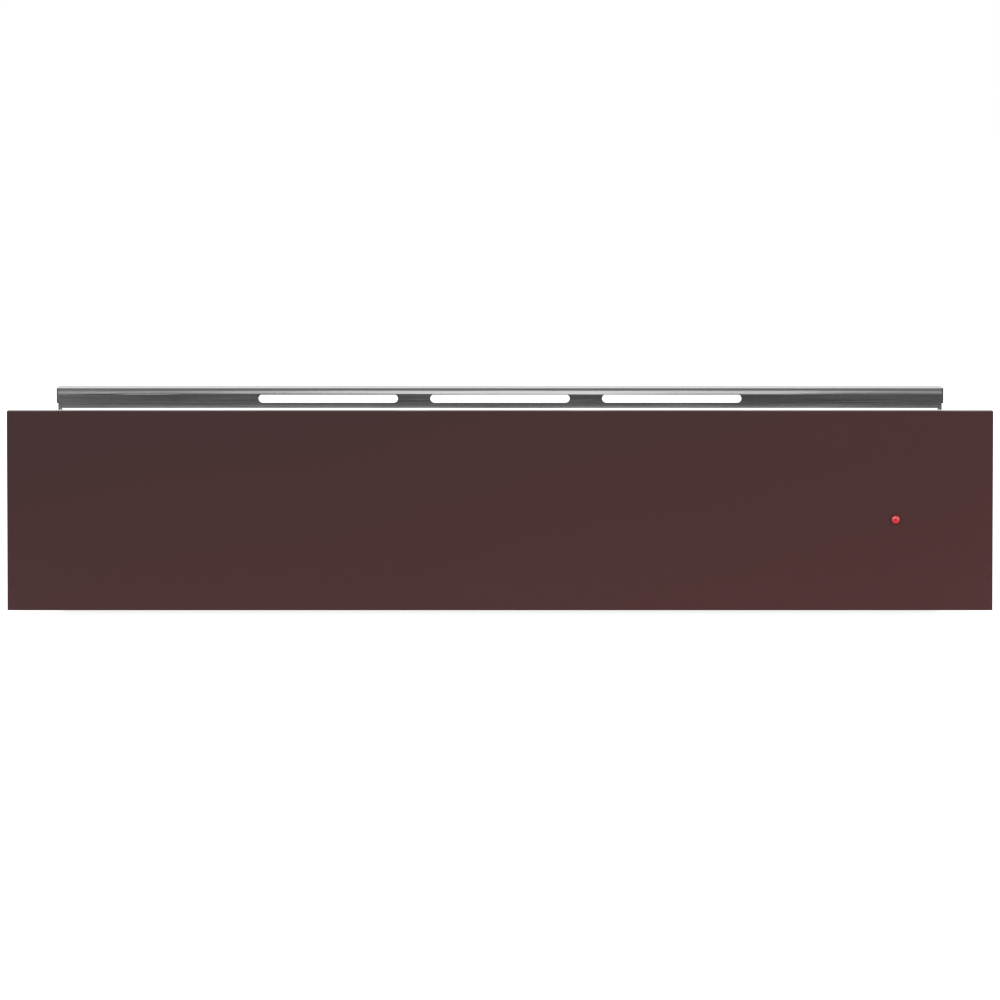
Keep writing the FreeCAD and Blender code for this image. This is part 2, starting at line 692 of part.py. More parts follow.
# Base: a sheet with three folded edges that stand inside the walls, with air slots
def make_base_sheet():
    body = new_body("base_sheet")
    half = wall_inside
    pad(body, "XY", s.foot_height, base_top, Rectangle(-half, half, case_front, back_inside))
    lip_top = base_top + s.base_lip
    lip_back = back_inside - s.wall_lip - s.case_sheet * 2
    for side in (-1, 1):
        low, high = sided(side, half - s.case_sheet, half)
        pad(body, "XY", base_top, lip_top, Rectangle(low, high, case_front + s.rail_gap, lip_back))
    across = half - s.foot_inset / 2
    pad(body, "XY", base_top, lip_top, Rectangle(-across, across, back_inside - s.case_sheet, back_inside))
    slots = []
    for k in range(-2, 3):
        for line in (-1, 1):
            y = fan_y + line * s.vent_height
            slots.append(
                Rectangle(
                    s.vent_pitch * k - s.vent_length / 2, s.vent_pitch * k + s.vent_length / 2,
                    y - s.vent_height / 2, y + s.vent_height / 2,
                )
            )
    pocket(body, "XY", s.foot_height, base_top, *slots)


# Rubber feet: square pads stuck under the base
def make_feet():
    across = wall_outside - s.foot_inset
    pads = []
    for x in (-across, across):
        for y in (case_front + s.foot_inset, back - s.foot_inset):
            half = s.foot_side / 2
            pads.append(box(x - half, x + half, y - half, y + half, 0, s.foot_height))
    group("feet", pads)


# Side walls: sheet with an ear at the front that carries the rail, fixing holes and air slots
def make_side_wall(name, side):
    body = new_body(name)
    low, high = sided(side, wall_inside, wall_outside)
    ear_front = case_front + s.ear_setback
    ear_back = ear_front + s.ear_depth
    wall = Outline(
        (case_front, s.foot_height), (back, s.foot_height), (back, s.case_height),
        (ear_back, s.case_height), (ear_back, rail_under), (ear_front, rail_under),
        (ear_front, s.case_height), (case_front, s.case_height),
    )
    pad(body, "YZ", low, high, wall)
    tab_low, tab_high = sided(side, wall_inside - s.ear_tab, wall_inside)
    pad(body, "XY", rail_under - s.case_sheet, rail_under, Rectangle(tab_low, tab_high, ear_front, ear_back))
    y = case_front + s.mount_hole_setback
    holes = [
        Circle(y, s.mount_hole_height, s.mount_hole_diameter),
        Circle(y, s.mount_hole_height + s.mount_hole_pitch, s.mount_hole_diameter),
    ]
    pocket(body, "YZ", low, high, *holes)
    vents = []
    for k in range(5):
        start = back - s.vent_pitch * (k + 1)
        top = s.case_height - s.vent_height * 2
        vents.append(Rectangle(start, start + s.vent_length, top - s.vent_height, top))
    pocket(body, "YZ", low, high, *vents)


# Rear wall: sheet with two folded edges against the side walls, air slots and the mains lead's hole
def make_rear_wall():
    body = new_body("rear_wall")
    pad(
        body, "XZ", back_inside, back,
        Rectangle(-wall_inside, wall_inside, s.foot_height, s.case_height),
    )
    for side in (-1, 1):
        low, high = sided(side, wall_inside - s.case_sheet, wall_inside)
        lip = Rectangle(low, high, base_top, s.case_height)
        pad(body, "XZ", back_inside - s.wall_lip, back_inside, lip)
    vents = []
    for k in (-4, -3, -2, 2, 3, 4):
        top = s.case_height - s.vent_height * 2
        middle = s.vent_pitch * k
        vents.append(
            Rectangle(
                middle - s.vent_length / 2, middle + s.vent_length / 2, top - s.vent_height, top
            )
        )
    pocket(body, "XZ", back_inside, back, *vents)
    neck = s.gland_bore + s.case_sheet * 4
    hole = Circle(-s.gland_from_middle, s.grommet_height, neck + s.small_play * 2)
    pocket(body, "XZ", back_inside, back, hole)


# Mains grommet: rubber ring with a groove that holds the edge of the rear wall's hole
def make_mains_grommet():
    body = new_body("mains_grommet")
    x, z = -s.gland_from_middle, s.grommet_height
    neck = s.gland_bore / 2 + s.case_sheet * 2
    rim = Polygon(x, z, s.grommet_diameter / 2, 16)
    pad(body, "XZ", back_inside - s.grommet_lip, back_inside, rim)
    pad(body, "XZ", back_inside, back, Polygon(x, z, neck, 16))
    pad(body, "XZ", back, back + s.grommet_lip, rim)
    pocket(body, "XZ", back_inside - s.grommet_lip, back + s.grommet_lip, Circle(x, z, s.gland_bore))


# Runner members: three nested channels with facing ball grooves, extruded along Y
def runner_point(side, reach, height):
    """A corner of a runner's section: distance from the wall, height from the runner's middle."""
    return (side * (wall_inside - reach), s.runner_centre + height)


def channel(side, web_reach, web, tip, outer, inner):
    """A C-shaped section: its web's side next to the wall, flanges that point to the tip."""
    return Outline(*[
        runner_point(side, reach, height)
        for reach, height in (
            (web_reach, outer), (tip, outer), (tip, inner), (web_reach + web, inner),
            (web_reach + web, -inner), (tip, -inner), (tip, -outer), (web_reach, -outer),
        )
    ])


def groove_pair(body, side, line, height, low, high):
    """Two grooves along a member, one above and one below its middle."""
    circles = [
        Circle(*runner_point(side, line, sign * height), groove_radius * 2) for sign in (-1, 1)
    ]
    pocket(body, "XZ", low, high, *circles)


def make_runner_outer(name, side):
    body = new_body(name)
    section = channel(side, as_size(0), s.runner_web, s.outer_reach, s.runner_height / 2, outer_face)
    pad(body, "XZ", runner_front, runner_back, section)
    groove_pair(body, side, s.outer_ball_line, outer_ball, runner_front, runner_back)


def make_runner_middle(name, side):
    body = new_body(name)
    section = channel(side, middle_web, s.runner_web, s.middle_reach, middle_top, middle_face)
    pad(body, "XZ", runner_front, runner_back, section)
    groove_pair(body, side, s.outer_ball_line, outer_ball, runner_front, runner_back)
    groove_pair(body, side, s.inner_ball_line, inner_ball, runner_front, runner_back)


def make_runner_inner(name, side):
    body = new_body(name)
    web_reach = s.runner_width - s.runner_web
    flange_inner = inner_top - s.inner_flange
    section = Outline(*[
        runner_point(side, reach, height)
        for reach, height in (
            (s.runner_width, inner_top), (inner_tip, inner_top), (inner_tip, flange_inner),
            (web_reach, flange_inner), (web_reach, -flange_inner), (inner_tip, -flange_inner),
            (inner_tip, -inner_top), (s.runner_width, -inner_top),
        )
    ])
    pad(body, "XZ", runner_front, runner_back, section)
    groove_pair(body, side, s.inner_ball_line, inner_ball, runner_front, runner_back)


# Ball cages: thin channels between the members, with a window for each ball
def ball_lines():
    step = (cage_length - s.ball_diameter * 4) / 2
    return [cage_front + s.ball_diameter * 2 + step * k for k in range(3)]


def make_ball_cage(name, side, web_reach, line, height):
    body = new_body(name)
    half = s.cage_flange / 2
    section = channel(side, web_reach, s.cage_web, s.cage_reach, height + half, height - half)
    pad(body, "XZ", cage_front, cage_front + cage_length, section)
    reach = s.ball_diameter / 2 + s.cage_window
    low, high = sided(side, wall_inside - line - reach, wall_inside - line + reach)
    windows = [Rectangle(low, high, y - reach, y + reach) for y in ball_lines()]
    top = s.runner_centre + height + half
    pocket(body, "XY", s.runner_centre - height - half, top, *windows)


# Balls: round in reality, here with few facets each, because there are so many
def ball(x, y, z):
    turns = [math.pi / 3 * k for k in range(6)]
    radius = float(s.ball_diameter) / 2
    poles = [vector(x, y, z - radius), vector(x, y, z + radius)]
    rings = []
    for latitude in (-30, 30):
        height = z + radius * math.sin(math.radians(latitude))
        reach = radius * math.cos(math.radians(latitude))
        rings.append([vector(x + reach * math.cos(t), y + reach * math.sin(t), height) for t in turns])
    faces = []
    low, high = rings
    for k in range(len(turns)):
        n = (k + 1) % len(turns)
        faces.append([poles[0], low[n], low[k]])
        faces.append([low[k], low[n], high[n], high[k]])
        faces.append([poles[1], high[k], high[n]])
    sides = [Part.Face(Part.makePolygon(spots + spots[:1])) for spots in faces]
    return Part.Solid(Part.Shell(sides))


def make_balls(name, side, line, height):
    x = side * (wall_inside - line)
    solids = [
        ball(x, y, s.runner_centre + sign * height) for y in ball_lines() for sign in (-1, 1)
    ]
    shaped(name, Part.makeCompound(solids))


# Drawer tub: folded sheet with a rim turned inwards, and holes for what passes its walls
def make_drawer_tub():
    body = new_body("drawer_tub")
    wall = s.tub_sheet
    pad(
        body, "XY", s.tub_bottom, s.tub_top,
        Rectangle(-tub_side, tub_side, panel_back, tub_back),
    )
    hollow = Rectangle(-tub_inside, tub_inside, panel_back + wall, tub_back - wall)
    pocket(body, "XY", tub_floor, s.tub_top - wall, hollow)
    mouth = Rectangle(
        s.tub_lip - tub_side, tub_side - s.tub_lip, panel_back + s.tub_lip, tub_back - s.tub_rear_lip
    )
    pocket(body, "XY", s.tub_top - wall, s.tub_top, mouth)
    front_holes = [
        Circle(lamp_x, lamp_z, s.lamp_body_diameter + s.frame_play * 2)
    ]
    pocket(body, "XZ", panel_back, panel_back + wall, *front_holes)
    gland = Circle(-s.gland_from_middle, s.gland_height, s.gland_bore + wall * 4 + s.small_play * 2)
    pocket(body, "XZ", tub_back - wall, tub_back, gland)
    vents = []
    for k in range(-2, 3):
        middle = s.vent_pitch * k
        left, right = middle - s.vent_length / 2, middle + s.vent_length / 2
        vents.append(Rectangle(left, right, fan_y - s.vent_height * 3, fan_y - s.vent_height * 2))
        vents.append(Rectangle(left, right, fan_y - s.vent_height, fan_y))
    pocket(body, "XY", s.tub_bottom, tub_floor, *vents)


# Ledge behind the front panel: it covers the wiring, carries the controls and the tray's front rim
def make_control_fascia():
    body = new_body("control_fascia")
    wall = s.tub_sheet
    edge = rim_front - s.cover_gap
    top = Rectangle(-tub_inside, tub_inside, panel_back, edge)
    pad(body, "XY", s.tub_top, fascia_top, top)
    skirt_bottom = s.tub_top - s.fascia_skirt
    shelf_edge = tray_front - s.cover_gap
    section = Outline(
        (edge - wall, skirt_bottom), (edge, skirt_bottom), (edge, s.tub_top - wall),
        (shelf_edge, s.tub_top - wall), (shelf_edge, s.tub_top), (edge - wall, s.tub_top),
    )
    pad(body, "YZ", -shelf_side, shelf_side, section)
    knob_hole = Circle(s.knob_from_middle, control_y, s.bushing_diameter + s.small_play * 2)
    half_length = s.switch_length / 2 + s.small_play
    half_width = s.switch_width / 2 + s.small_play
    window = Rectangle(
        s.switch_from_middle - half_length, s.switch_from_middle + half_length,
        control_y - half_width, control_y + half_width,
    )
    pocket(body, "XY", s.tub_top, fascia_top, knob_hole, window)


# Thermostat: a box under the ledge, its neck through the ledge, and the spindle that the knob turns
def make_thermostat():
    body = new_body("thermostat")
    half = s.thermostat_width / 2
    x, y = s.knob_from_middle, control_y
    box_top = s.tub_top
    box_bottom = box_top - s.thermostat_height
    side = half * 0.85
    pad(body, "XY", box_bottom, box_top, Rectangle(x - half, x + half, y - side, y + side))
    neck_top = fascia_top + s.bushing_rise
    pad(body, "XY", box_top, neck_top, Polygon(x, y, s.bushing_diameter / 2, 12))
    bore = s.spindle_diameter + s.small_play * 2
    pocket(body, "XY", box_bottom + s.bracket_sheet, neck_top, Circle(x, y, bore))
    tab_low = box_bottom - s.bezel_edge * 3
    tabs = [
        Rectangle(x + k * half / 2 - s.case_sheet * 3, x + k * half / 2 + s.case_sheet * 3,
                  y - s.reflector_sheet, y + s.reflector_sheet)
        for k in (-1, 1)
    ]
    pad(body, "XY", tab_low, box_bottom, *tabs)


def make_spindle():
    body = new_body("thermostat_spindle")
    low = s.tub_top - s.thermostat_height + s.bracket_sheet + s.latch_play
    high = fascia_top + s.knob_gap + s.spindle_depth
    x, y = s.knob_from_middle, control_y
    pad(body, "XY", low, high, Circle(x, y, s.spindle_diameter))


# Temperature knob: skirt with twenty flats, a grip bar across it, and a bore for the spindle
def make_temperature_knob():
    body = new_body("temperature_knob")
    skirt = s.knob_diameter
    top = s.knob_height
    x, y = s.knob_from_middle, control_y
    low = fascia_top + s.knob_gap
    skirt_top = low + s.skirt_height
    pad(body, "XY", low, skirt_top, Polygon(x, y, skirt / 2, 20))
    bar = s.grip_width / 2
    reach = skirt * 0.46
    pad(
        body, "XY", skirt_top, low + top,
        Outline(
            (x - bar, y - reach), (x + bar, y - reach), (x + bar, y + reach * 0.8),
            (x, y + reach), (x - bar, y + reach * 0.8),
        ),
    )
    neck = s.bushing_diameter + s.frame_play * 6
    pocket(body, "XY", low, fascia_top + s.bushing_rise + s.frame_play, Circle(x, y, neck))
    pocket(body, "XY", low, low + s.spindle_depth, Circle(x, y, s.spindle_diameter))


# Rocker switch: a snap-in body with a rim, hollow at the top, and the rocker that tilts in it
def make_power_switch():
    body = new_body("power_switch")
    x, y = s.switch_from_middle, control_y
    half_length, half_width = s.switch_length / 2, s.switch_width / 2
    low = fascia_top - s.switch_depth
    pad(
        body, "XY", low, fascia_top,
        Rectangle(x - half_length, x + half_length, y - half_width, y + half_width),
    )
    rim_length, rim_half = half_length + s.bezel_edge, half_width + s.bezel_edge
    rim = RoundedRectangle(x - rim_length, x + rim_length, y - rim_half, y + rim_half, s.bezel_edge)
    pad(body, "XY", fascia_top, fascia_top + s.bezel_height, rim)
    inner_length = s.rocker_length / 2 + s.latch_play * 3
    inner_width = s.rocker_width / 2 + s.latch_play
    hollow = Rectangle(x - inner_length, x + inner_length, y - inner_width, y + inner_width)
    pocket(body, "XY", rocker_pivot() - s.rocker_width * 0.4, fascia_top + s.bezel_height, hollow)
    tabs = [
        Rectangle(x + k * half_length / 2 - s.case_sheet * 2, x + k * half_length / 2 + s.case_sheet * 2,
                  y - s.reflector_sheet, y + s.reflector_sheet)
        for k in (-1, 0, 1)
    ]
    pad(body, "XY", low - s.bezel_edge * 3, low, *tabs)


def rocker_pivot():
    return fascia_top - s.bezel_edge / 2


def make_power_rocker():
    body = new_body("power_rocker")
    half = s.rocker_length / 2
    wing = s.rocker_length * 0.16
    half_width = s.rocker_width / 2
    foot = -s.rocker_width * 0.26
    section = Outline(
        (-half, 1), (-half * 0.5, foot), (half * 0.5, foot), (half, 1), (half, wing),
        (0, wing * 0.72), (-half, wing),
    )
    pad(body, "XZ", -half_width, half_width, section)
    place(body, s.switch_from_middle, control_y, rocker_pivot(), (0, 1, 0), s.rocker_tilt)


# Warming tray: deep-drawn stainless steel with a flat rim that rests on the tub and the ledges
def make_warming_tray():
    body = new_body("warming_tray")
    rim_side = tub_inside - s.rim_side_gap
    wall = s.tray_sheet
    outer = RoundedRectangle(-tray_side, tray_side, tray_front, tray_back, s.tray_corner)
    pad(body, "XY", s.tray_floor, s.tub_top, outer)
    chamfer(body, s.tray_bottom_edge, lambda edge: near(edge.BoundBox.ZMax, s.tray_floor))
    hollow(body, wall, lambda face: near(face.BoundBox.ZMin, s.tub_top))
    inner = RoundedRectangle(
        wall - tray_side, tray_side - wall, tray_front + wall, tray_back - wall, s.tray_corner - wall
    )
    rim = RoundedRectangle(-rim_side, rim_side, rim_front, rim_back, s.rim_width)
    pad(body, "XY", s.tub_top, rim_top, rim, inner)


def make_non_slip_mat():
    body = new_body("non_slip_mat")
    low = s.tray_floor + s.tray_sheet
    side = tray_side - s.mat_gap
    mat = RoundedRectangle(
        -side, side, tray_front + s.mat_gap, tray_back - s.mat_gap, s.tray_corner - s.mat_gap
    )
    pad(body, "XY", low, low + s.mat_thickness, mat)


# Under the tray: insulating mat, aluminium reflector with upturned edges, heater and its clips
def under_tray(gap):
    side = tub_inside - gap
    return -side, side, rim_front + gap / 2, rear_front - gap / 2


def make_insulation_mat():
    body = new_body("insulation_mat")
    high = tub_floor + s.insulation_thickness
    pad(body, "XY", tub_floor, high, Rectangle(*under_tray(s.insulation_gap)))


def make_reflector_plate():
    body = new_body("reflector_plate")
    left, right, low, high = under_tray(s.insulation_gap)
    bottom = tub_floor + s.insulation_thickness
    wall = s.reflector_sheet
    top = bottom + s.reflector_edge
    pad(body, "XY", bottom, top, Rectangle(left, right, low, high))
    inner = Rectangle(left + wall, right - wall, low + wall, high - wall)
    pocket(body, "XY", bottom + wall, top, inner)
    tail = s.heater_diameter / 2 + s.latch_play
    notches = []
    for side in (-1, 1):
        x = side * s.heater_pitch * 1.5
        notches.append(Rectangle(x - tail, x + tail, high - wall, high))
    pocket(body, "XY", bottom + wall, top, *notches)


def heater_line():
    return tub_floor + s.insulation_thickness + s.reflector_sheet + s.heater_diameter / 2


def pipe(path, diameter, sides=4):
    """A rod of a few flat sides along a smooth path of lines and arcs."""
    start = path.Edges[0]
    spot = start.valueAt(start.FirstParameter)
    along = start.tangentAt(start.FirstParameter)
    across = along.cross(FreeCAD.Vector(0, 0, 1)).normalize()
    up = across.cross(along)
    radius = float(diameter) / 2
    ring = []
    for k in range(sides + 1):
        turn = 2 * math.pi * ((k % sides) + 0.5) / sides
        ring.append(spot + across * (radius * math.cos(turn)) + up * (radius * math.sin(turn)))
    solid = path.makePipeShell([Part.makePolygon(ring)], True, False)
    return solid


def arc_through(first, middle, last):
    return Part.Arc(first, middle, last).toShape()


# Tubular heater: four runs from front to back with three half-round bends, both ends at the rear
def make_heater_element():
    z = heater_line()
    radius = s.heater_pitch / 2
    lanes = [s.heater_pitch * k for k in (-1.5, -0.5, 0.5, 1.5)]
    end = rear_wall_back + s.heater_tail
    front_turn = heater_front + radius
    back_turn = heater_back - radius
    edges = [Part.makeLine(vector(lanes[0], end, z), vector(lanes[0], front_turn, z))]
    for k in range(3):
        at_front = k % 2 == 0
        line = front_turn if at_front else back_turn
        bulge = -radius if at_front else radius
        middle = (lanes[k] + lanes[k + 1]) / 2
        edges.append(
            arc_through(
                vector(lanes[k], line, z), vector(middle, line + bulge, z), vector(lanes[k + 1], line, z)
            )
        )
        far = end if k == 2 else (back_turn if at_front else front_turn)
        edges.append(Part.makeLine(vector(lanes[k + 1], line, z), vector(lanes[k + 1], far, z)))
    shaped("heater_element", pipe(Part.Wire(edges), s.heater_diameter))


# Heater clips: strips bent over the heater's runs, with a foot on each side
def make_heater_clips():
    bottom = float(tub_floor + s.insulation_thickness + s.reflector_sheet)
    z = float(heater_line())
    inner = float(s.heater_diameter / 2 + s.small_play * 2)
    outer = inner + float(s.clip_sheet)
    foot = outer + float(s.clip_foot)
    sheet_top = bottom + float(s.clip_sheet)
    clips = []
    for lane in (-1.5, -0.5, 0.5, 1.5):
        x = float(s.heater_pitch) * lane
        for y in (float(heater_front + s.heater_pitch), float(heater_back - s.heater_pitch)):
            y = y - float(s.clip_width) / 2
            corner = math.tan(math.pi / 8)
            half = [
                (foot, bottom), (foot, sheet_top), (outer, sheet_top), (outer, z + outer * corner),
                (outer * corner, z + outer),
            ]
            under = [(inner * corner, z + inner), (inner, z + inner * corner), (inner, bottom)]
            right = [vector(x + a, y, b) for a, b in half]
            left = [vector(x - a, y, b) for a, b in reversed(half)]
            under_left = [vector(x - a, y, b) for a, b in reversed(under)]
            under_right = [vector(x + a, y, b) for a, b in under]
            loop = right + left + under_left + under_right
            face = Part.Face(Part.makePolygon(loop + loop[:1]))
            clips.append(face.extrude(vector(0, s.clip_width, 0)))
    shaped("heater_clips", Part.makeCompound(clips))


# Thermal cut-out: a button pressed against the underside of the tray, between two terminals
def make_thermal_cutout():
    body = new_body("thermal_cutout")
    low = s.tray_floor - s.cutout_height
    pad(body, "XY", low, s.tray_floor, Polygon(0, 0, s.cutout_diameter / 2, 16))


# Rear cover: closes the room behind the tray, carries the tray's rear rim and lets the warm air out
def make_rear_cover():
    body = new_body("rear_cover")
    wall = s.tub_sheet
    top = s.rear_cover_top
    skin = top - wall
    front_wall = Outline(
        (-shelf_side, tub_floor), (shelf_side, tub_floor), (shelf_side, s.tub_top),
        (tub_side, s.tub_top), (tub_side, top), (-tub_side, top), (-tub_side, s.tub_top),
        (-shelf_side, s.tub_top),
    )
    pad(body, "XZ", rear_front, rear_wall_back, front_wall)
    pad(body, "XY", skin, top, Rectangle(-tub_side, tub_side, rear_front, tub_back))
    pad(body, "XY", s.tub_top, skin, Rectangle(-tub_side, tub_side, tub_back - wall, tub_back))
    for side in (-1, 1):
        low, high = sided(side, tub_inside, tub_side)
        pad(body, "XY", s.tub_top, skin, Rectangle(low, high, rear_front, tub_back))
    shelf = Rectangle(-shelf_side, shelf_side, tray_back + s.cover_gap, rear_front)
    pad(body, "XY", s.tub_top - wall, s.tub_top, shelf)
    outlets = []
    pitch = s.fan_length / 12
    for k in range(12):
        middle = pitch * (k - 5.5)
        outlets.append(
            Rectangle(
                middle - pitch * 0.38, middle + pitch * 0.38, rim_top + s.cover_gap, skin - s.cover_gap
            )
        )
    pocket(body, "XZ", rear_front, rear_wall_back, *outlets)
    tail = s.heater_diameter / 2 + s.latch_play
    tails = []
    for side in (-1, 1):
        x = side * s.heater_pitch * 1.5
        tails.append(Rectangle(x - tail, x + tail, heater_line() - tail, heater_line() + tail))
    pocket(body, "XZ", rear_front, rear_wall_back, *tails)


# Cross-flow fan: a long wheel of curved blades between discs, on a shaft through both housing ends
fan_half = s.fan_length / 2
fan_end = fan_half + s.fan_side_gap
guide_radius = s.fan_diameter / 2 + s.fan_gap
stator_start = fan_end + s.fan_end_sheet + s.motor_gap
motor_end = stator_start + s.stator_length + s.bracket_sheet


def make_fan_impeller():
    body = new_body("fan_impeller")
    thin = s.fan_disc
    disc = Circle(fan_y, s.fan_height, s.fan_diameter)
    pad(body, "YZ", -fan_half, thin - fan_half, disc)
    blade_sketch = sketch_on(body, "YZ", thin - fan_half, [FanBlade()])
    blade = body.newObject("PartDesign::Pad", "fan_blade")
    blade.Profile = blade_sketch
    blade.setExpression("Length", (s.fan_length - thin).formula)
    doc.recompute()
    pattern = body.newObject("PartDesign::PolarPattern", "fan_blades")
    pattern.Originals = [blade]
    pattern.Axis = (centre_sketch(body), ["N_Axis"])
    pattern.Angle = 360
    pattern.setExpression("Occurrences", s.fan_blades.formula)
    body.Tip = pattern
    doc.recompute()
    pad(body, "YZ", fan_half - thin, fan_half, disc)
    shaft_start = -fan_end - s.fan_end_sheet - s.motor_gap
    shaft_end = stator_start + s.rotor_gap
    pad(body, "YZ", shaft_start, shaft_end, Circle(fan_y, s.fan_height, s.fan_shaft_diameter))


def centre_sketch(body):
    """An empty sketch whose normal is the fan's axis."""
    sketch = body.newObject("Sketcher::SketchObject", "fan_axis")
    support = next(p for p in body.Origin.OriginFeatures if p.Role == "YZ_Plane")
    sketch.AttachmentSupport = [(support, "")]
    sketch.MapMode = "FlatFace"
    sketch.setExpression("AttachmentOffset.Base.x", fan_y.formula)
    sketch.setExpression("AttachmentOffset.Base.y", s.fan_height.formula)
    return sketch


class FanBlade:
    """Section of one blade: a thin strip along an arc, bent in two steps."""

    def draw(self, sketch):
        outer = float(s.fan_diameter) / 2 - float(s.blade_sheet)
        inner = outer - float(s.blade_depth)
        centre_y, centre_z = float(fan_y), float(s.fan_height)
        lean = math.radians(20)
        tip = (outer * math.cos(lean), outer * math.sin(lean))
        root = (inner, 0)
        chord = math.hypot(tip[0] - root[0], tip[1] - root[1])
        along = ((tip[0] - root[0]) / chord, (tip[1] - root[1]) / chord)
        across = (along[1], -along[0])
        depth = chord * 0.56
        hub = ((tip[0] + root[0]) / 2 - across[0] * depth, (tip[1] + root[1]) / 2 - across[1] * depth)
        radius = math.hypot(tip[0] - hub[0], tip[1] - hub[1])
        start = math.atan2(root[1] - hub[1], root[0] - hub[0])
        finish = math.atan2(tip[1] - hub[1], tip[0] - hub[0])
        steps = 2
        angles = [start + (finish - start) * k / steps for k in range(steps + 1)]
        loop = [(radius + float(s.blade_sheet) / 2, angle) for angle in angles]
        loop += [(radius - float(s.blade_sheet) / 2, angle) for angle in reversed(angles)]
        spots = [
            vector(
                centre_y + hub[0] + size * math.cos(angle), centre_z + hub[1] + size * math.sin(angle), 0
            )
            for size, angle in loop
        ]
        count = len(spots)
        first = sketch.GeometryCount
        lines = [Part.LineSegment(spots[i], spots[(i + 1) % count]) for i in range(count)]
        sketch.addGeometry(lines, False)
        sketch.addConstraint([
            Sketcher.Constraint("Coincident", first + i, 2, first + (i + 1) % count, 1)
            for i in range(count)
        ])


# Fan housing: two end plates that stand on the tub's floor, the rear guide and the front tongue
def strip(path, thickness, low, high):
    """A thin sheet that follows a path of lines and arcs in the YZ plane, extruded along X."""
    outer = path.makeOffset2D(float(thickness), join=2, openResult=True, fill=True)
    face = outer if outer.ShapeType == "Face" else outer.Faces[0]
    solid = face.extrude(vector(high - low, 0, 0))
    solid.translate(vector(low, 0, 0))
    return solid


def make_fan_housing():
    y, z = float(fan_y), float(s.fan_height)
    radius = float(guide_radius)
    duct_top = float(s.rear_cover_top - s.tub_sheet - s.cover_gap)
    bend = (duct_top - z) * 0.28
    duct_front = float(rear_wall_back + s.cover_gap)
    corner = y + radius - bend
    slant = math.sqrt(0.5)
    path = Part.Wire([
        arc_through(
            vector(0, y, z - radius), vector(0, y + radius * slant, z - radius * slant),
            vector(0, y + radius, z),
        ),
        Part.makeLine(vector(0, y + radius, z), vector(0, y + radius, duct_top - bend)),
        arc_through(
            vector(0, y + radius, duct_top - bend),
            vector(0, corner + bend * slant, duct_top - bend + bend * slant),
            vector(0, corner, duct_top),
        ),
        Part.makeLine(vector(0, corner, duct_top), vector(0, duct_front, duct_top)),
    ])
    low, high = -fan_end, fan_end
    guide = strip(path, s.guide_sheet, low, high)
    lean = math.radians(115)
    tip = vector(0, y + radius * math.cos(lean), z + radius * math.sin(lean))
    lip = vector(0, duct_front, float(rim_top))
    lift = vector(0, 0, s.guide_sheet)
    tongue_face = Part.Face(Part.makePolygon([tip, lip, lip + lift, tip + lift, tip]))
    tongue = tongue_face.extrude(vector(high - low, 0, 0))
    tongue.translate(vector(low, 0, 0))
    ends = []
    for side in (-1, 1):
        near_x, far_x = sided(side, fan_end, fan_end + s.fan_end_sheet)
        plate = Part.makeBox(
            float(s.fan_end_sheet), float(tub_back - s.tub_rear_lip - s.tub_sheet * 2 - rear_wall_back),
            duct_top + float(s.guide_sheet) - float(tub_floor),
            vector(near_x, rear_wall_back + s.tub_sheet, tub_floor),
        )
        bore = Part.makeCylinder(
            float(s.fan_shaft_diameter), float(s.fan_end_sheet), vector(near_x, y, z),
            FreeCAD.Vector(1, 0, 0),
        )
        ends.append(plate.cut(bore))
    shaped("fan_housing", guide.multiFuse([tongue] + ends).removeSplitter())


# Fan bearing: a six-sided bush against the left end plate
def make_fan_bearing():
    body = new_body("fan_bearing")
    outside = -fan_end - s.fan_end_sheet
    y, z = fan_y, s.fan_height
    pad(body, "YZ", outside - s.fan_shaft_diameter, outside, Polygon(y, z, s.fan_shaft_diameter * 1.4, 6))
    bore = Circle(y, z, s.fan_shaft_diameter + s.small_play * 2)
    pocket(body, "YZ", outside - s.fan_shaft_diameter, outside, bore)


# Fan motor: laminated stack with a coil round its lower limb, on spacers, and a bearing bracket
def make_fan_motor():
    body = new_body("fan_motor")
    half = s.stator_width / 2
    y, z = fan_y, s.fan_height
    start, end = stator_start, stator_start + s.stator_length
    pad(body, "YZ", start, end, Rectangle(y - half, y + half, z - half * 1.2, z + half))
    pocket(body, "YZ", start, end, Circle(y, z, s.rotor_diameter + s.rotor_gap * 2))
    coil_half = half * 0.62
    coil_top = z - half * 0.72
    pad(
        body, "YZ", start - s.bracket_sheet * 2, end + s.bracket_sheet * 2,
        Rectangle(y - coil_half, y + coil_half, tub_floor, coil_top),
    )
    arm_half = s.fan_shaft_diameter
    pad(body, "YZ", end, motor_end, Rectangle(y - half, y + half, z - arm_half, z + arm_half))
    bore = Circle(y, z, s.fan_shaft_diameter + s.small_play * 2)
    pocket(body, "YZ", end, motor_end, bore)
    spacers = []
    for k in (-1, 1):
        line = y + k * half * 0.8
        spacers.append(Rectangle(line - arm_half / 2, line + arm_half / 2, z - arm_half, z + arm_half))
    pad(body, "YZ", fan_end + s.fan_end_sheet, start, *spacers)


# Rotor of the motor, pressed on the end of the fan's shaft, with its own stub for the far bearing
def make_motor_rotor():
    body = new_body("motor_rotor")
    start = stator_start + s.rotor_gap
    end = stator_start + s.stator_length - s.rotor_gap
    y, z = fan_y, s.fan_height
    pad(body, "YZ", start, end, Polygon(y, z, s.rotor_diameter / 2, 16))
    pad(body, "YZ", end, motor_end, Circle(y, z, s.fan_shaft_diameter))


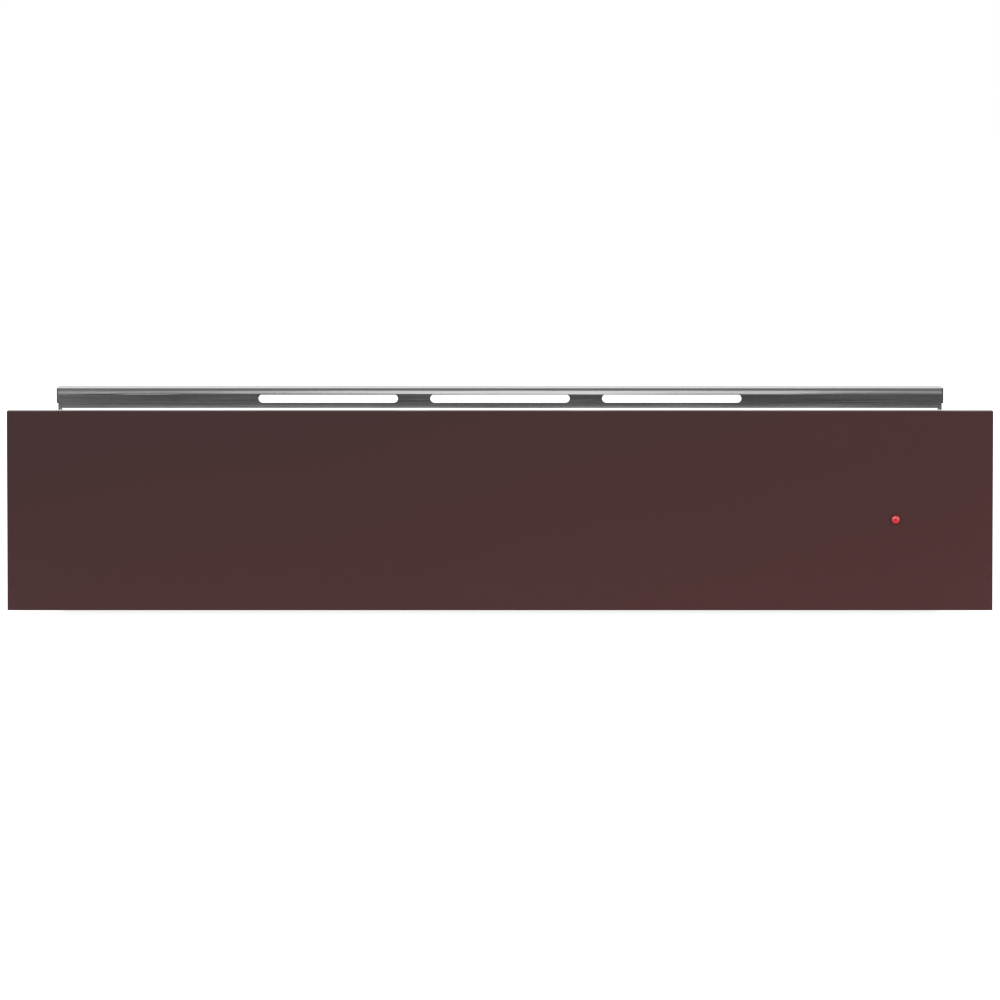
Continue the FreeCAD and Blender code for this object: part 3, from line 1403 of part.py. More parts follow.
# Wiring: terminal block behind the tray, cable gland in the tub's rear wall, loom along the left side
def make_terminal_block():
    body = new_body("terminal_block")
    x = -s.heater_pitch * 1.9
    half = s.switch_length / 2
    low_y = fan_y - half / 2
    high_y = fan_y + half / 2
    high = tub_floor + s.switch_depth
    pad(body, "XY", tub_floor, high, Rectangle(x - half, x + half, low_y, high_y))
    way = half * 2 / 3
    ways = [
        Rectangle(
            x + way * k - way * 0.38, x + way * k + way * 0.38, low_y + s.bezel_edge, high_y - s.bezel_edge
        )
        for k in (-1, 0, 1)
    ]
    pocket(body, "XY", high - s.switch_depth / 2, high, *ways)


def make_cable_gland():
    body = new_body("cable_gland")
    x, z = -s.gland_from_middle, s.gland_height
    wall = s.tub_sheet
    neck = s.gland_bore + wall * 4
    inside = tub_back - wall
    nut = s.gland_diameter / 2
    pad(body, "XZ", inside - wall * 4, inside, Polygon(x, z, nut, 6))
    pad(body, "XZ", inside, tub_back + wall * 9, Polygon(x, z, neck / 2, 12))
    pad(body, "XZ", tub_back, tub_back + wall * 4, Polygon(x, z, nut, 6))
    pocket(body, "XZ", inside - wall * 4, tub_back + wall * 9, Circle(x, z, s.gland_bore))


def make_wiring_loom():
    radius = float(s.loom_diameter) * 3
    z = float(tub_floor + s.loom_diameter / 2 + s.small_play)
    edge_x = -float(tub_inside - s.loom_diameter / 2 - s.latch_play)
    front_y = float(panel_back + s.tub_lip * 2)
    back_y = float(fan_y)
    block_x = float(-s.heater_pitch * 1.9 - s.switch_length / 2 - s.latch_play)
    switch_x = float(s.switch_from_middle - s.switch_length)
    slant = radius * (1 - math.sqrt(0.5))
    edges = [
        Part.makeLine(vector(block_x, back_y, z), vector(edge_x + radius, back_y, z)),
        arc_through(
            vector(edge_x + radius, back_y, z), vector(edge_x + slant, back_y - slant, z),
            vector(edge_x, back_y - radius, z),
        ),
        Part.makeLine(vector(edge_x, back_y - radius, z), vector(edge_x, front_y + radius, z)),
        arc_through(
            vector(edge_x, front_y + radius, z), vector(edge_x + slant, front_y + slant, z),
            vector(edge_x + radius, front_y, z),
        ),
        Part.makeLine(vector(edge_x + radius, front_y, z), vector(switch_x, front_y, z)),
    ]
    shaped("wiring_loom", pipe(Part.Wire(edges), s.loom_diameter))


# Latch: striker pin on the drawer, hook with its pivot in a case on the rear wall, leaf spring below
pin_y = tub_back + s.striker_reach
pivot_y = pin_y + s.pivot_reach
pivot_z = s.latch_height - s.pivot_drop


def make_striker_bracket():
    body = new_body("striker_bracket")
    half = s.striker_width / 2
    wall = s.bracket_wall
    low = s.latch_height - s.striker_diameter
    high = s.latch_height + s.striker_diameter * 3
    plate_low = s.latch_height + wall
    pad(body, "XZ", tub_back, tub_back + wall, Rectangle(-half, half, plate_low, high))
    reach = pin_y + s.striker_diameter * 0.8
    cheek = Outline(
        (tub_back, low), (reach, low), (reach, plate_low), (tub_back + wall, high), (tub_back, high)
    )
    for side in (-1, 1):
        inner, outer = sided(side, half - wall, half)
        pad(body, "YZ", inner, outer, cheek)


def make_striker_pin():
    length = s.striker_width - s.bracket_wall * 2
    pin = cylinder(s.striker_diameter, length, -length / 2, pin_y, s.latch_height, *LIES_RIGHT)
    keep("striker_pin", pin)


def make_latch_case():
    body = new_body("latch_case")
    half = s.latch_width / 2
    wall = s.latch_sheet
    low, high = pivot_z - s.pivot_drop * 1.2, s.latch_height + s.pivot_drop
    pad(body, "XZ", back_inside - wall, back_inside, Rectangle(-half, half, low, high))
    open_y = pin_y - s.striker_diameter
    cheek = Outline(
        (pivot_y - s.pivot_drop, low), (back_inside, low), (back_inside, high), (pivot_y, high),
        (open_y, pivot_z + s.pivot_drop), (open_y, pivot_z),
    )
    for side in (-1, 1):
        inner, outer = sided(side, half - wall, half)
        pad(body, "YZ", inner, outer, cheek)


def make_latch_pin():
    length = s.latch_width - s.latch_sheet * 2
    pin = cylinder(s.pivot_diameter, length, -length / 2, pivot_y, pivot_z, *LIES_RIGHT)
    keep("latch_pin", pin)


def make_latch_hook():
    body = new_body("latch_hook")
    half = s.hook_thickness / 2
    catch = pin_y - s.striker_diameter / 2 - s.latch_play
    nose = catch - s.hook_wall
    arm_top = s.latch_height - s.striker_diameter / 2 - s.latch_play
    arm_low = arm_top - s.hook_thickness * 0.95
    tip = s.latch_height + s.hook_wall * 0.9
    boss = s.pivot_diameter * 1.8
    section = Outline(
        (nose, arm_low), (pivot_y, arm_low), (pivot_y, pivot_z + boss / 2), (pin_y, arm_top),
        (catch, arm_top), (catch, tip), (catch - s.hook_wall / 2, tip), (nose, tip - s.hook_wall),
    )
    pad(body, "YZ", -half, half, section)
    pad(body, "YZ", -half, half, Circle(pivot_y, pivot_z, boss))
    pocket(body, "YZ", -half, half, Circle(pivot_y, pivot_z, s.pivot_diameter + s.small_play * 2))


# Latch spring: a leaf riveted to the case that presses the hook's arm upwards
def make_latch_spring():
    body = new_body("latch_spring")
    half = s.hook_thickness / 2
    thick = s.latch_sheet / 3
    arm_low = s.latch_height - s.striker_diameter / 2 - s.latch_play - s.hook_thickness * 0.95
    tip_y = pin_y
    tip_z = arm_low - s.latch_play
    root_y = back_inside - s.latch_sheet
    root_z = pivot_z - s.pivot_drop
    knee_y = pivot_y - s.latch_play
    leaf = Outline(
        (tip_y, tip_z), (knee_y, root_z), (root_y, root_z), (root_y, root_z - thick),
        (knee_y - thick / 2, root_z - thick), (tip_y - thick, tip_z - thick),
    )
    pad(body, "YZ", -half, half, leaf)


# Eject spring: an unbroken coil between the rear wall and the tub, round a rod with a foot
def make_spring_guide():
    body = new_body("spring_guide")
    rod_end = tub_back + s.push + s.spring_seat_gap
    foot = s.spring_radius * 3.4
    x, z = s.spring_from_middle, s.latch_height
    foot_plate = Rectangle(x - foot / 2, x + foot / 2, z - foot / 2, z + foot / 2)
    pad(body, "XZ", back_inside - s.guide_flange, back_inside, foot_plate)
    pad(body, "XZ", rod_end, back_inside - s.guide_flange, Circle(x, z, s.guide_diameter))


def biarc(p0, t0, p1, t1):
    """Two arcs that join two points with the given directions, smooth at both ends and between."""
    across = p1 - p0
    both = t0 + t1
    turn = t0.dot(t1)
    b = across.dot(both)
    a = across.dot(across)
    reach = (math.sqrt(b * b + 2 * (1 - turn) * a) - b) / (2 * (1 - turn))
    joint = (p0 + t0 * reach + p1 - t1 * reach) * 0.5
    return [half_biarc(p0, t0, joint, 1), half_biarc(p1, t1, joint, -1)]


def half_biarc(end, direction, joint, sense):
    """The arc from an end with its direction to the joint, or back from the joint for sense -1."""
    heading = direction * sense
    chord = joint - end
    length = chord.Length
    unit = chord * (1 / length)
    bulge = heading - unit * heading.dot(unit)
    half_turn = math.acos(max(-1, min(1, heading.dot(unit))))
    bulge.normalize()
    middle = (end + joint) * 0.5 + bulge * (length / 2 * math.tan(half_turn / 2))
    if sense > 0:
        return arc_through(end, middle, joint)
    return arc_through(joint, middle, end)


def make_eject_spring():
    start = float(tub_back + s.spring_seat_gap + s.spring_wire / 2)
    finish = float(back_inside - s.guide_flange - s.spring_seat_gap - s.spring_wire / 2)
    turns = int(s.spring_turns.number)
    radius = float(s.spring_radius)
    pitch = (finish - start) / turns
    x, z = float(s.spring_from_middle), float(s.latch_height)
    steps = turns * 2
    edges = []
    spots, directions = [], []
    for k in range(steps + 1):
        angle = math.pi * k
        rise = start + pitch * k / 2
        spots.append(vector(x + radius * math.cos(angle), rise, z + radius * math.sin(angle)))
        heading = vector(-radius * math.sin(angle), pitch / (2 * math.pi), radius * math.cos(angle))
        heading.normalize()
        directions.append(heading)
    for k in range(steps):
        edges += biarc(spots[k], directions[k], spots[k + 1], directions[k + 1])
    solid = spring_tube(Part.Wire(edges), spots[0], directions[0])
    print("eject spring: least gap to itself", round(gap_to_itself(edges, turns), 3), "mm")
    shaped("eject_spring", solid)


def gap_to_itself(edges, turns):
    """Least distance between points of the wire's line at least half a turn apart, less the wire."""
    points = []
    for edge in edges:
        points += edge.discretize(12)[:-1]
    per_turn = len(points) // turns
    least = min(
        (points[i] - points[j]).Length
        for i in range(len(points)) for j in range(i + per_turn // 2, len(points))
    )
    return least - float(s.spring_wire)


def spring_tube(path, spot, along):
    radius = float(s.spring_wire) / 2
    up = FreeCAD.Vector(0, 1, 0)
    across = along.cross(up)
    across.normalize()
    up = across.cross(along)
    ring = []
    for k in [*range(6), 0]:
        turn = math.pi / 3 * k
        ring.append(spot + across * (radius * math.cos(turn)) + up * (radius * math.sin(turn)))
    return path.makePipeShell([Part.makePolygon(ring)], True, False)


# Rubber buffers: end stops on the rear wall that the tub meets when the drawer is pushed in
def make_rubber_buffers():
    start = tub_back + s.push + s.buffer_gap
    length = back_inside - start
    pads = [
        cylinder(
            s.buffer_diameter, length, side * s.buffer_from_middle, back_inside - length,
            s.runner_centre, *LIES_BACK
        )
        for side in (-1, 1)
    ]
    group("rubber_buffers", pads)


make_front_panel()
make_front_frame()
make_panel_filler()
make_pilot_lamp()
make_front_rail()
make_base_sheet()
make_feet()
make_rear_wall()
make_mains_grommet()
for word, side in SIDES:
    make_side_wall(f"side_wall_{word}", side)
    make_runner_outer(f"runner_outer_{word}", side)
    make_runner_middle(f"runner_middle_{word}", side)
    make_runner_inner(f"runner_inner_{word}", side)
    make_ball_cage(f"ball_cage_outer_{word}", side, outer_cage_web, s.outer_ball_line, outer_ball)
    make_ball_cage(f"ball_cage_inner_{word}", side, inner_cage_web, s.inner_ball_line, inner_ball)
    make_balls(f"balls_outer_{word}", side, s.outer_ball_line, outer_ball)
    make_balls(f"balls_inner_{word}", side, s.inner_ball_line, inner_ball)
make_drawer_tub()
make_control_fascia()
make_thermostat()
make_spindle()
make_temperature_knob()
make_power_switch()
make_power_rocker()
make_warming_tray()
make_non_slip_mat()
make_insulation_mat()
make_reflector_plate()
make_heater_element()
make_heater_clips()
make_thermal_cutout()
make_rear_cover()
make_fan_impeller()
make_fan_housing()
make_fan_bearing()
make_fan_motor()
make_motor_rotor()
make_terminal_block()
make_cable_gland()
make_wiring_loom()
make_striker_bracket()
make_striker_pin()
make_latch_case()
make_latch_pin()
make_latch_hook()
make_latch_spring()
make_spring_guide()
make_eject_spring()
make_rubber_buffers()
doc.recompute()

for thing in doc.Objects:
    if "Invalid" in thing.State or "Error" in thing.State:
        raise ValueError(f"{thing.Label} did not compute: {thing.State}")
    if thing.TypeId == "PartDesign::Pocket":
        if thing.BaseFeature.Shape.Volume - thing.Shape.Volume < 1e-6:
            raise ValueError(f"{thing.Label} takes nothing away")
for name, thing in nodes.items():
    if thing.Shape.isNull() or not thing.Shape.isValid():
        raise ValueError(f"{name} has no valid shape")
    if not thing.Shape.Solids:
        raise ValueError(f"{name} holds no solid")

os.makedirs("parts", exist_ok=True)
for name, thing in nodes.items():
    thing.Shape.exportStep(f"parts/{name}.step")
print(len(nodes), "sub-parts")
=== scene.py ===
# %% [markdown]
# # A warming drawer, dressed from its frame
# The drawer sits under an oven: a painted front with a small red lamp, a slotted steel rail above it, and
# behind them a tray, a heater and a fan in a tub that rolls on ball runners. The CAD model gives every
# piece its shape and place. Here each piece gets the surface that it has in a kitchen, and the small
# parts that CAD leaves out, such as rivets, screws and the marks on a dial.

# %% Load the frame
import json
import math

import bmesh
import bpy
from mathutils import Matrix, Vector

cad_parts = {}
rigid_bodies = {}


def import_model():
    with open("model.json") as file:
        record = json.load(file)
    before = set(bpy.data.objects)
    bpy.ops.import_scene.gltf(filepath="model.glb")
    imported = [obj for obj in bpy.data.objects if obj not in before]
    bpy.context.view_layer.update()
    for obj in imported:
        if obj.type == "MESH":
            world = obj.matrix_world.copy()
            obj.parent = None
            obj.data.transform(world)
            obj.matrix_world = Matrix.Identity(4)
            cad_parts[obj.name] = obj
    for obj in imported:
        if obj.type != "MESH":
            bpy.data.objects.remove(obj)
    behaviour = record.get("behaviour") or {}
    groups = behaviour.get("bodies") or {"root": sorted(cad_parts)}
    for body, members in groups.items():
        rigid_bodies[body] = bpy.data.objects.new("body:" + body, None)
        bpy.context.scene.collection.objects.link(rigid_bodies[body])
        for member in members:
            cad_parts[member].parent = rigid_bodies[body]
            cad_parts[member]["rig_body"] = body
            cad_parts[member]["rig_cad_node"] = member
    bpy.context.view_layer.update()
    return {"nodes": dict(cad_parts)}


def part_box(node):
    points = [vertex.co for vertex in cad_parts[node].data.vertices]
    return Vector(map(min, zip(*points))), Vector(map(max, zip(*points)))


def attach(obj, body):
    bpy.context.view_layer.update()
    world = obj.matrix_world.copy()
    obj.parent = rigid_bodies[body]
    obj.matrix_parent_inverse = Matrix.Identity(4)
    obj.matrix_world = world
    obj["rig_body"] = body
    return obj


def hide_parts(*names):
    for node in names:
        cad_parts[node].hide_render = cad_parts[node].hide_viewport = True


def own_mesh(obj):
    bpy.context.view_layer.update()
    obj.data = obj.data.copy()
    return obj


for thing in list(bpy.data.objects):
    bpy.data.objects.remove(thing)
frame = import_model()
nodes = frame["nodes"]
bpy.context.scene.view_settings.view_transform = "Standard"

# %% [markdown]
# ## Camera
# The photograph looks straight at the front from far away and a little above: the top of the rail is a
# thin strip, and the sides of the panel stay parallel. A long lens 4.5 m away does the same. The panel's
# width in the picture gives the focal length, and the row of its upper edge gives the aim.

# %% Place the camera
MM = 0.001
picture_pixels, panel_pixels = 1000, 986.0
sensor_width = 36
distance, look_down = 4.5, math.radians(3.2)
aim_height = 69.8 * MM
panel_low, panel_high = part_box("front_panel")
rise = math.tan(look_down) * distance
camera_data = bpy.data.cameras.new("camera")
camera = bpy.data.objects.new("camera", camera_data)
bpy.context.scene.collection.objects.link(camera)
bpy.context.scene.camera = camera
aim = Vector((0, panel_low.y, aim_height))
camera.location = Vector((0, panel_low.y - distance, panel_high.z + rise))
camera.rotation_euler = (aim - camera.location).to_track_quat("-Z", "Y").to_euler()
reach = (aim - camera.location).length
camera_data.sensor_width = sensor_width
camera_data.lens = panel_pixels / picture_pixels * sensor_width * reach / (panel_high.x - panel_low.x)
camera_data.clip_start, camera_data.clip_end = 0.1, 60
print("lens", round(camera_data.lens, 1), "mm at", round(reach, 3), "m")

# %% [markdown]
# ## Helpers for materials
# A finish is a small web of nodes: a place on the piece, a pattern read at that place, and the shader.
# A few helpers keep the cells short. `finish` starts a material with its plain numbers set on the shader,
# and `pattern` adds a noise that is read at the piece's own place, stretched along the axes as wanted.

# %% A material and its patterns
def finish(name, color, roughness, metallic=0.0, **sockets):
    """A new material with its even values set on the shader's own sockets."""
    material = bpy.data.materials.new(name)
    material.use_nodes = True
    shader = material.node_tree.nodes["Principled BSDF"]
    shader.inputs["Base Color"].default_value = (*color, 1)
    shader.inputs["Roughness"].default_value = roughness
    shader.inputs["Metallic"].default_value = metallic
    for socket, value in sockets.items():
        shader.inputs[socket.replace("_", " ")].default_value = value
    material.diffuse_color = (*color, 1)
    return material


def place_on(material, stretch=(1, 1, 1)):
    """The piece's own coordinates, stretched, which every pattern here starts from."""
    tree = material.node_tree
    where = tree.nodes.new("ShaderNodeTexCoord")
    mapping = tree.nodes.new("ShaderNodeMapping")
    mapping.inputs["Scale"].default_value = stretch
    tree.links.new(where.outputs["Object"], mapping.inputs["Vector"])
    return mapping.outputs["Vector"]


def pattern(material, size, detail=4.0, stretch=(1, 1, 1), rough=0.5):
    """A noise whose blotches are about 1/size metres across."""
    tree = material.node_tree
    noise = tree.nodes.new("ShaderNodeTexNoise")
    noise.inputs["Scale"].default_value = size
    noise.inputs["Detail"].default_value = detail
    noise.inputs["Roughness"].default_value = rough
    tree.links.new(place_on(material, stretch), noise.inputs["Vector"])
    return noise.outputs["Fac"]


# %% [markdown]
# ## From patterns to colours and bumps
# A pattern is one number at each place of the surface. `ramp` turns it into a colour and `levels` into a
# number of another span, `two_in_one` makes one number of two, `use` links the result to the shader, and
# `relief` bumps the surface by it. `toned` gives the lighter and darker colours for the ends of a ramp.

# %% Colours and numbers
def ramp(material, value, stops):
    """Turns a pattern into colours: stops are (position, colour)."""
    node = material.node_tree.nodes.new("ShaderNodeValToRGB")
    band = node.color_ramp
    while len(band.elements) < len(stops):
        band.elements.new(0.5)
    for element, (position, color) in zip(band.elements, stops):
        element.position = position
        element.color = (*color, 1)
    material.node_tree.links.new(value, node.inputs["Fac"])
    return node.outputs["Color"]


def levels(material, value, low, high, start=0.3, stop=0.7):
    """Turns a pattern into a number between low and high."""
    node = material.node_tree.nodes.new("ShaderNodeMapRange")
    node.inputs["From Min"].default_value = start
    node.inputs["From Max"].default_value = stop
    node.inputs["To Min"].default_value = low
    node.inputs["To Max"].default_value = high
    material.node_tree.links.new(value, node.inputs["Value"])
    return node.outputs["Result"]


def two_in_one(tree, operation, first, second):
    """One number from two, such as their sum or the greater one."""
    node = tree.nodes.new("ShaderNodeMath")
    node.operation = operation
    tree.links.new(first, node.inputs[0])
    tree.links.new(second, node.inputs[1])
    return node.outputs["Value"]


# %% Links, bumps and tones
def use(material, value, socket):
    """Links a pattern to a socket of the shader."""
    shader = material.node_tree.nodes["Principled BSDF"]
    material.node_tree.links.new(value, shader.inputs[socket])


def relief(material, value, height, strength=1.0):
    """Bumps the surface by a pattern, up to a real height in metres, on top of any relief before."""
    tree = material.node_tree
    shader = tree.nodes["Principled BSDF"]
    bump = tree.nodes.new("ShaderNodeBump")
    bump.inputs["Distance"].default_value = height
    bump.inputs["Strength"].default_value = strength
    tree.links.new(value, bump.inputs["Height"])
    if shader.inputs["Normal"].links:
        tree.links.new(shader.inputs["Normal"].links[0].from_socket, bump.inputs["Normal"])
    tree.links.new(bump.outputs["Normal"], shader.inputs["Normal"])


def toned(color, share):
    """A colour made lighter or darker by a share."""
    return tuple(max(0.0, c * (1 + share)) for c in color)


# %% [markdown]
# ## Painted front
# The front is steel, powder-coated in a dark red-brown. Powder melts into a film that isn't quite flat:
# very shallow waves a few millimetres across, which soften every reflection. Its colour carries painted
# light:
# it goes from a cooler shade at the upper left to a warmer, lighter one at the lower right.

# %% Paint of the front
def make_front_paint(painted_cool_light, painted_warm_light):
    """Powder paint with painted light: its colour goes from the cooler end at the upper left to the warmer,
    lighter end at the lower right.
    """
    paint = finish("front_paint", painted_cool_light, 0.45, Specular_IOR_Level=0.3)
    tree = paint.node_tree
    where = tree.nodes.new("ShaderNodeTexCoord")
    split = tree.nodes.new("ShaderNodeSeparateXYZ")
    tree.links.new(where.outputs["Object"], split.inputs["Vector"])
    # Painted light: a slope across and down the front, from the cooler upper left to the warmer lower right.
    across = levels(paint, split.outputs["X"], 0, 0.5, panel_low.x, panel_high.x)
    down = levels(paint, split.outputs["Z"], 0.5, 0, panel_low.z, panel_high.z)
    both = two_in_one(tree, "ADD", across, down)
    cloud = levels(paint, pattern(paint, 3.0, 2.0), -0.06, 0.06)
    uneven = two_in_one(tree, "ADD", both, cloud)
    use(paint, ramp(paint, uneven, [(0.0, painted_cool_light), (1.0, painted_warm_light)]), "Base Color")
    use(paint, levels(paint, pattern(paint, 900, 3.0), 0.38, 0.47), "Roughness")
    relief(paint, pattern(paint, 260, 2.0), 0.00002, 0.5)
    return paint


# The two colours are the ends of the painted light: cooler at the upper left, warmer at the lower right.
front_paint = make_front_paint((0.063, 0.0275, 0.0277), (0.0925, 0.0289, 0.0291))
nodes["front_panel"].material_slots[0].material = front_paint
print("front paint made")

# %% [markdown]
# ## Steel sheets
# Three sorts of steel sheet are in this drawer. The rail and the tray are stainless steel, ground in one
# direction: fine scratches along X, which a noise stretched a few hundred times along X gives. The
# housing is galvanised, with large pale and dark zinc crystals, for which a Voronoi pattern is the usual
# choice. The runners are drawn, so their lines follow Y.

# %% Ground steel
def make_ground_steel(name, color, rough, along=(1.5, 260, 260), depth=0.000012, wave=0.0, streak=0.2):
    """Bare steel with fine lines along one axis, and shallow waves where it is a long thin strip."""
    steel = finish(name, color, rough, 1.0)
    lines = pattern(steel, 14, 6.0, along, 0.65)
    tones = [(0.25, toned(color, -streak)), (0.75, toned(color, streak))]
    use(steel, ramp(steel, lines, tones), "Base Color")
    use(steel, levels(steel, lines, rough - 0.07, rough + 0.1), "Roughness")
    relief(steel, lines, depth, 0.6)
    if wave:
        relief(steel, pattern(steel, 7, 1.0, (1, 1, 2.5)), wave, 1.0)
    return steel


rail_steel = make_ground_steel(
    "rail_steel", (0.47, 0.47, 0.475), 0.17, (1.2, 300, 300), depth=0.00003, wave=0.0018, streak=0.34,
)
tray_steel = make_ground_steel("tray_steel", (0.58, 0.58, 0.59), 0.3)
runner_steel = make_ground_steel("runner_steel", (0.60, 0.61, 0.63), 0.25, (260, 1.5, 260))
nodes["front_rail"].material_slots[0].material = rail_steel
nodes["warming_tray"].material_slots[0].material = tray_steel
for side in ("left", "right"):
    for member in ("outer", "middle", "inner"):
        nodes[f"runner_{member}_{side}"].material_slots[0].material = runner_steel
print("ground steel on the rail, the tray and the runners")


# %% Galvanised steel
def make_zinc():
    """Galvanised steel with zinc crystals about a centimetre across."""
    color = (0.50, 0.51, 0.52)
    zinc = finish("zinc_steel", color, 0.38, 1.0)
    tree = zinc.node_tree
    crystals = tree.nodes.new("ShaderNodeTexVoronoi")
    crystals.inputs["Scale"].default_value = 95
    tree.links.new(place_on(zinc), crystals.inputs["Vector"])
    grey = tree.nodes.new("ShaderNodeRGBToBW")
    tree.links.new(crystals.outputs["Color"], grey.inputs["Color"])
    flake = grey.outputs["Val"]
    use(zinc, ramp(zinc, flake, [(0.2, toned(color, -0.12)), (0.8, toned(color, 0.1))]), "Base Color")
    use(zinc, levels(zinc, flake, 0.3, 0.5, 0.2, 0.8), "Roughness")
    relief(zinc, pattern(zinc, 400, 3.0), 0.00001, 0.4)
    return zinc


zinc_steel = make_zinc()
zinc_nodes = (
    "side_wall_left", "side_wall_right", "base_sheet", "rear_wall", "rear_cover", "striker_bracket",
    "latch_case", "fan_housing",
)
for name in zinc_nodes:
    nodes[name].material_slots[0].material = zinc_steel
print("zinc on", len(zinc_nodes), "nodes")


# %% [markdown]
# ## Dark painted steel, board and wool
# The tub, the ledge and the back plate of the front are painted near black, with the fine grain of a
# textured powder. The filler of the front is pressed board, and the mat under the tray is mineral wool:
# both are matt, with fibres that lie mostly flat.

# %% Dark paint, board, wool
def make_dark_paint():
    """Near-black powder paint with a fine grain."""
    color = (0.035, 0.035, 0.038)
    paint = finish("frame_steel", color, 0.5, Specular_IOR_Level=0.4)
    grain = pattern(paint, 700, 4.0)
    tones = [(0.35, toned(color, -0.15)), (0.65, toned(color, 0.2))]
    use(paint, ramp(paint, grain, tones), "Base Color")
    use(paint, levels(paint, grain, 0.44, 0.6), "Roughness")
    relief(paint, grain, 0.00006, 0.7)
    return paint


def make_fibres(name, color, stretch, depth):
    """Matt stuff made of strands, as board and wool are."""
    fibres = finish(name, color, 0.95, Specular_IOR_Level=0.2)
    strands = pattern(fibres, 60, 8.0, stretch, 0.7)
    tones = [(0.3, toned(color, -0.3)), (0.7, toned(color, 0.15))]
    use(fibres, ramp(fibres, strands, tones), "Base Color")
    relief(fibres, strands, depth, 0.9)
    return fibres


dark_paint = make_dark_paint()
board = make_fibres("board", (0.36, 0.27, 0.18), (4, 9, 9), 0.0003)
wool = make_fibres("wool", (0.70, 0.66, 0.50), (3, 5, 16), 0.0012)
for name in ("drawer_tub", "control_fascia", "front_frame"):
    nodes[name].material_slots[0].material = dark_paint
nodes["panel_filler"].material_slots[0].material = board
print("dark paint, board and wool made")


# %% [markdown]
# ## Plastics and rubber
# Moulded parts have a fine spark-eroded grain, and rubber is duller and slightly mottled. Both are plain
# in colour, so the grain and the roughness have to carry them.

# %% Plastics and rubber
def make_moulded(name, color, rough, grain_size=1400, depth=0.00003, spread=0.11):
    """Plastic, rubber or ink with the grain of its mould."""
    plastic = finish(name, color, rough, Specular_IOR_Level=0.5)
    grain = pattern(plastic, grain_size, 3.0)
    tones = [(0.3, toned(color, -spread)), (0.7, toned(color, spread))]
    use(plastic, ramp(plastic, grain, tones), "Base Color")
    use(plastic, levels(plastic, grain, rough - 0.05, rough + 0.08), "Roughness")
    relief(plastic, grain, depth, 0.5)
    return plastic


black_plastic = make_moulded("black_plastic", (0.016, 0.016, 0.017), 0.38)
cage_plastic = make_moulded("cage_plastic", (0.62, 0.60, 0.52), 0.5)
rubber = make_moulded("rubber", (0.018, 0.018, 0.018), 0.72, 500, 0.00008)
mat_rubber = make_moulded("mat_rubber", (0.028, 0.028, 0.03), 0.8, 300, 0.0001)
sleeve = make_moulded("wire_sleeve", (0.60, 0.57, 0.48), 0.7, 900, 0.00006)
lamp_black = make_moulded("lamp_black", (0.030, 0.018, 0.018), 0.35)
for name in ("temperature_knob", "power_switch", "power_rocker", "thermal_cutout", "thermostat",
             "cable_gland", "latch_hook", "terminal_block"):
    nodes[name].material_slots[0].material = black_plastic
for name in ("feet", "rubber_buffers", "mains_grommet"):
    nodes[name].material_slots[0].material = rubber
for side in ("left", "right"):
    for row in ("outer", "inner"):
        nodes[f"ball_cage_{row}_{side}"].material_slots[0].material = cage_plastic
nodes["non_slip_mat"].material_slots[0].material = mat_rubber
nodes["lamp_body"].material_slots[0].material = lamp_black
print("plastics and rubber made")


# %% [markdown]
# ## Bright and dark metals of the works
# The reflector is polished aluminium, the fan wheel is rolled aluminium, the balls and pins are hardened
# and polished, and the motor is varnished iron. The heater's sheath is browned by its own heat, with spots
# of a third colour where the pattern is highest.

# %% Other metals
def make_metal(name, color, rough, size=120, spread=0.1, spots=None):
    """Metal with faint clouds, and with spots of another colour where one is given."""
    metal = finish(name, color, rough, 1.0)
    cloud = pattern(metal, size, 5.0)
    stops = [(0.3, toned(color, -spread)), (0.7, toned(color, spread))]
    if spots:
        stops.append((0.85, spots))
    use(metal, ramp(metal, cloud, stops), "Base Color")
    use(metal, levels(metal, cloud, rough - 0.05, rough + 0.1), "Roughness")
    relief(metal, pattern(metal, size * 6, 3.0), 0.00001, 0.4)
    return metal


reflector = make_metal("bright_sheet", (0.74, 0.75, 0.76), 0.16)
fan_metal = make_metal("fan_metal", (0.64, 0.65, 0.66), 0.3)
ball_steel = make_metal("ball_steel", (0.68, 0.68, 0.69), 0.08)
spring_steel = make_metal("spring_steel", (0.42, 0.42, 0.43), 0.28)
clip_steel = make_metal("clip_steel", (0.56, 0.56, 0.57), 0.3)
heater_tube = make_metal("heater_tube", (0.23, 0.20, 0.18), 0.42, 60, 0.25, (0.20, 0.14, 0.22))
motor_iron = make_metal("motor_iron", (0.15, 0.15, 0.16), 0.5)
bronze = make_metal("bearing_bronze", (0.46, 0.31, 0.14), 0.35)
finishes = {
    "reflector_plate": reflector, "fan_impeller": fan_metal, "striker_pin": ball_steel,
    "latch_pin": ball_steel, "thermostat_spindle": ball_steel, "eject_spring": spring_steel,
    "latch_spring": spring_steel, "spring_guide": spring_steel, "heater_clips": clip_steel,
    "fan_motor": motor_iron, "motor_rotor": motor_iron, "fan_bearing": bronze,
}
for name, material in finishes.items():
    nodes[name].material_slots[0].material = material
print("metals on", len(finishes), "nodes")

# %% [markdown]
# ## Pilot lamp
# The lamp is a small dome of red plastic in a dark ring. It isn't lit: it looks bright because light
# goes into it and comes back out red. A little subsurface light does that, under a clear gloss.

# %% Lens of the lamp
def make_lamp_red():
    """Clear red plastic that lets a little light through."""
    color = (0.76, 0.014, 0.02)
    red = finish(
        "lamp_red", color, 0.2, Subsurface_Weight=0.2, Specular_IOR_Level=0.8, Coat_Weight=1.0,
        Coat_Roughness=0.06, Subsurface_Radius=(0.004, 0.0004, 0.0004), Subsurface_Scale=1.0,
    )
    ripple = pattern(red, 800, 2.0)
    use(red, ramp(red, ripple, [(0.3, toned(color, -0.08)), (0.7, toned(color, 0.1))]), "Base Color")
    return red


lamp_red = make_lamp_red()
print("lamp red made")

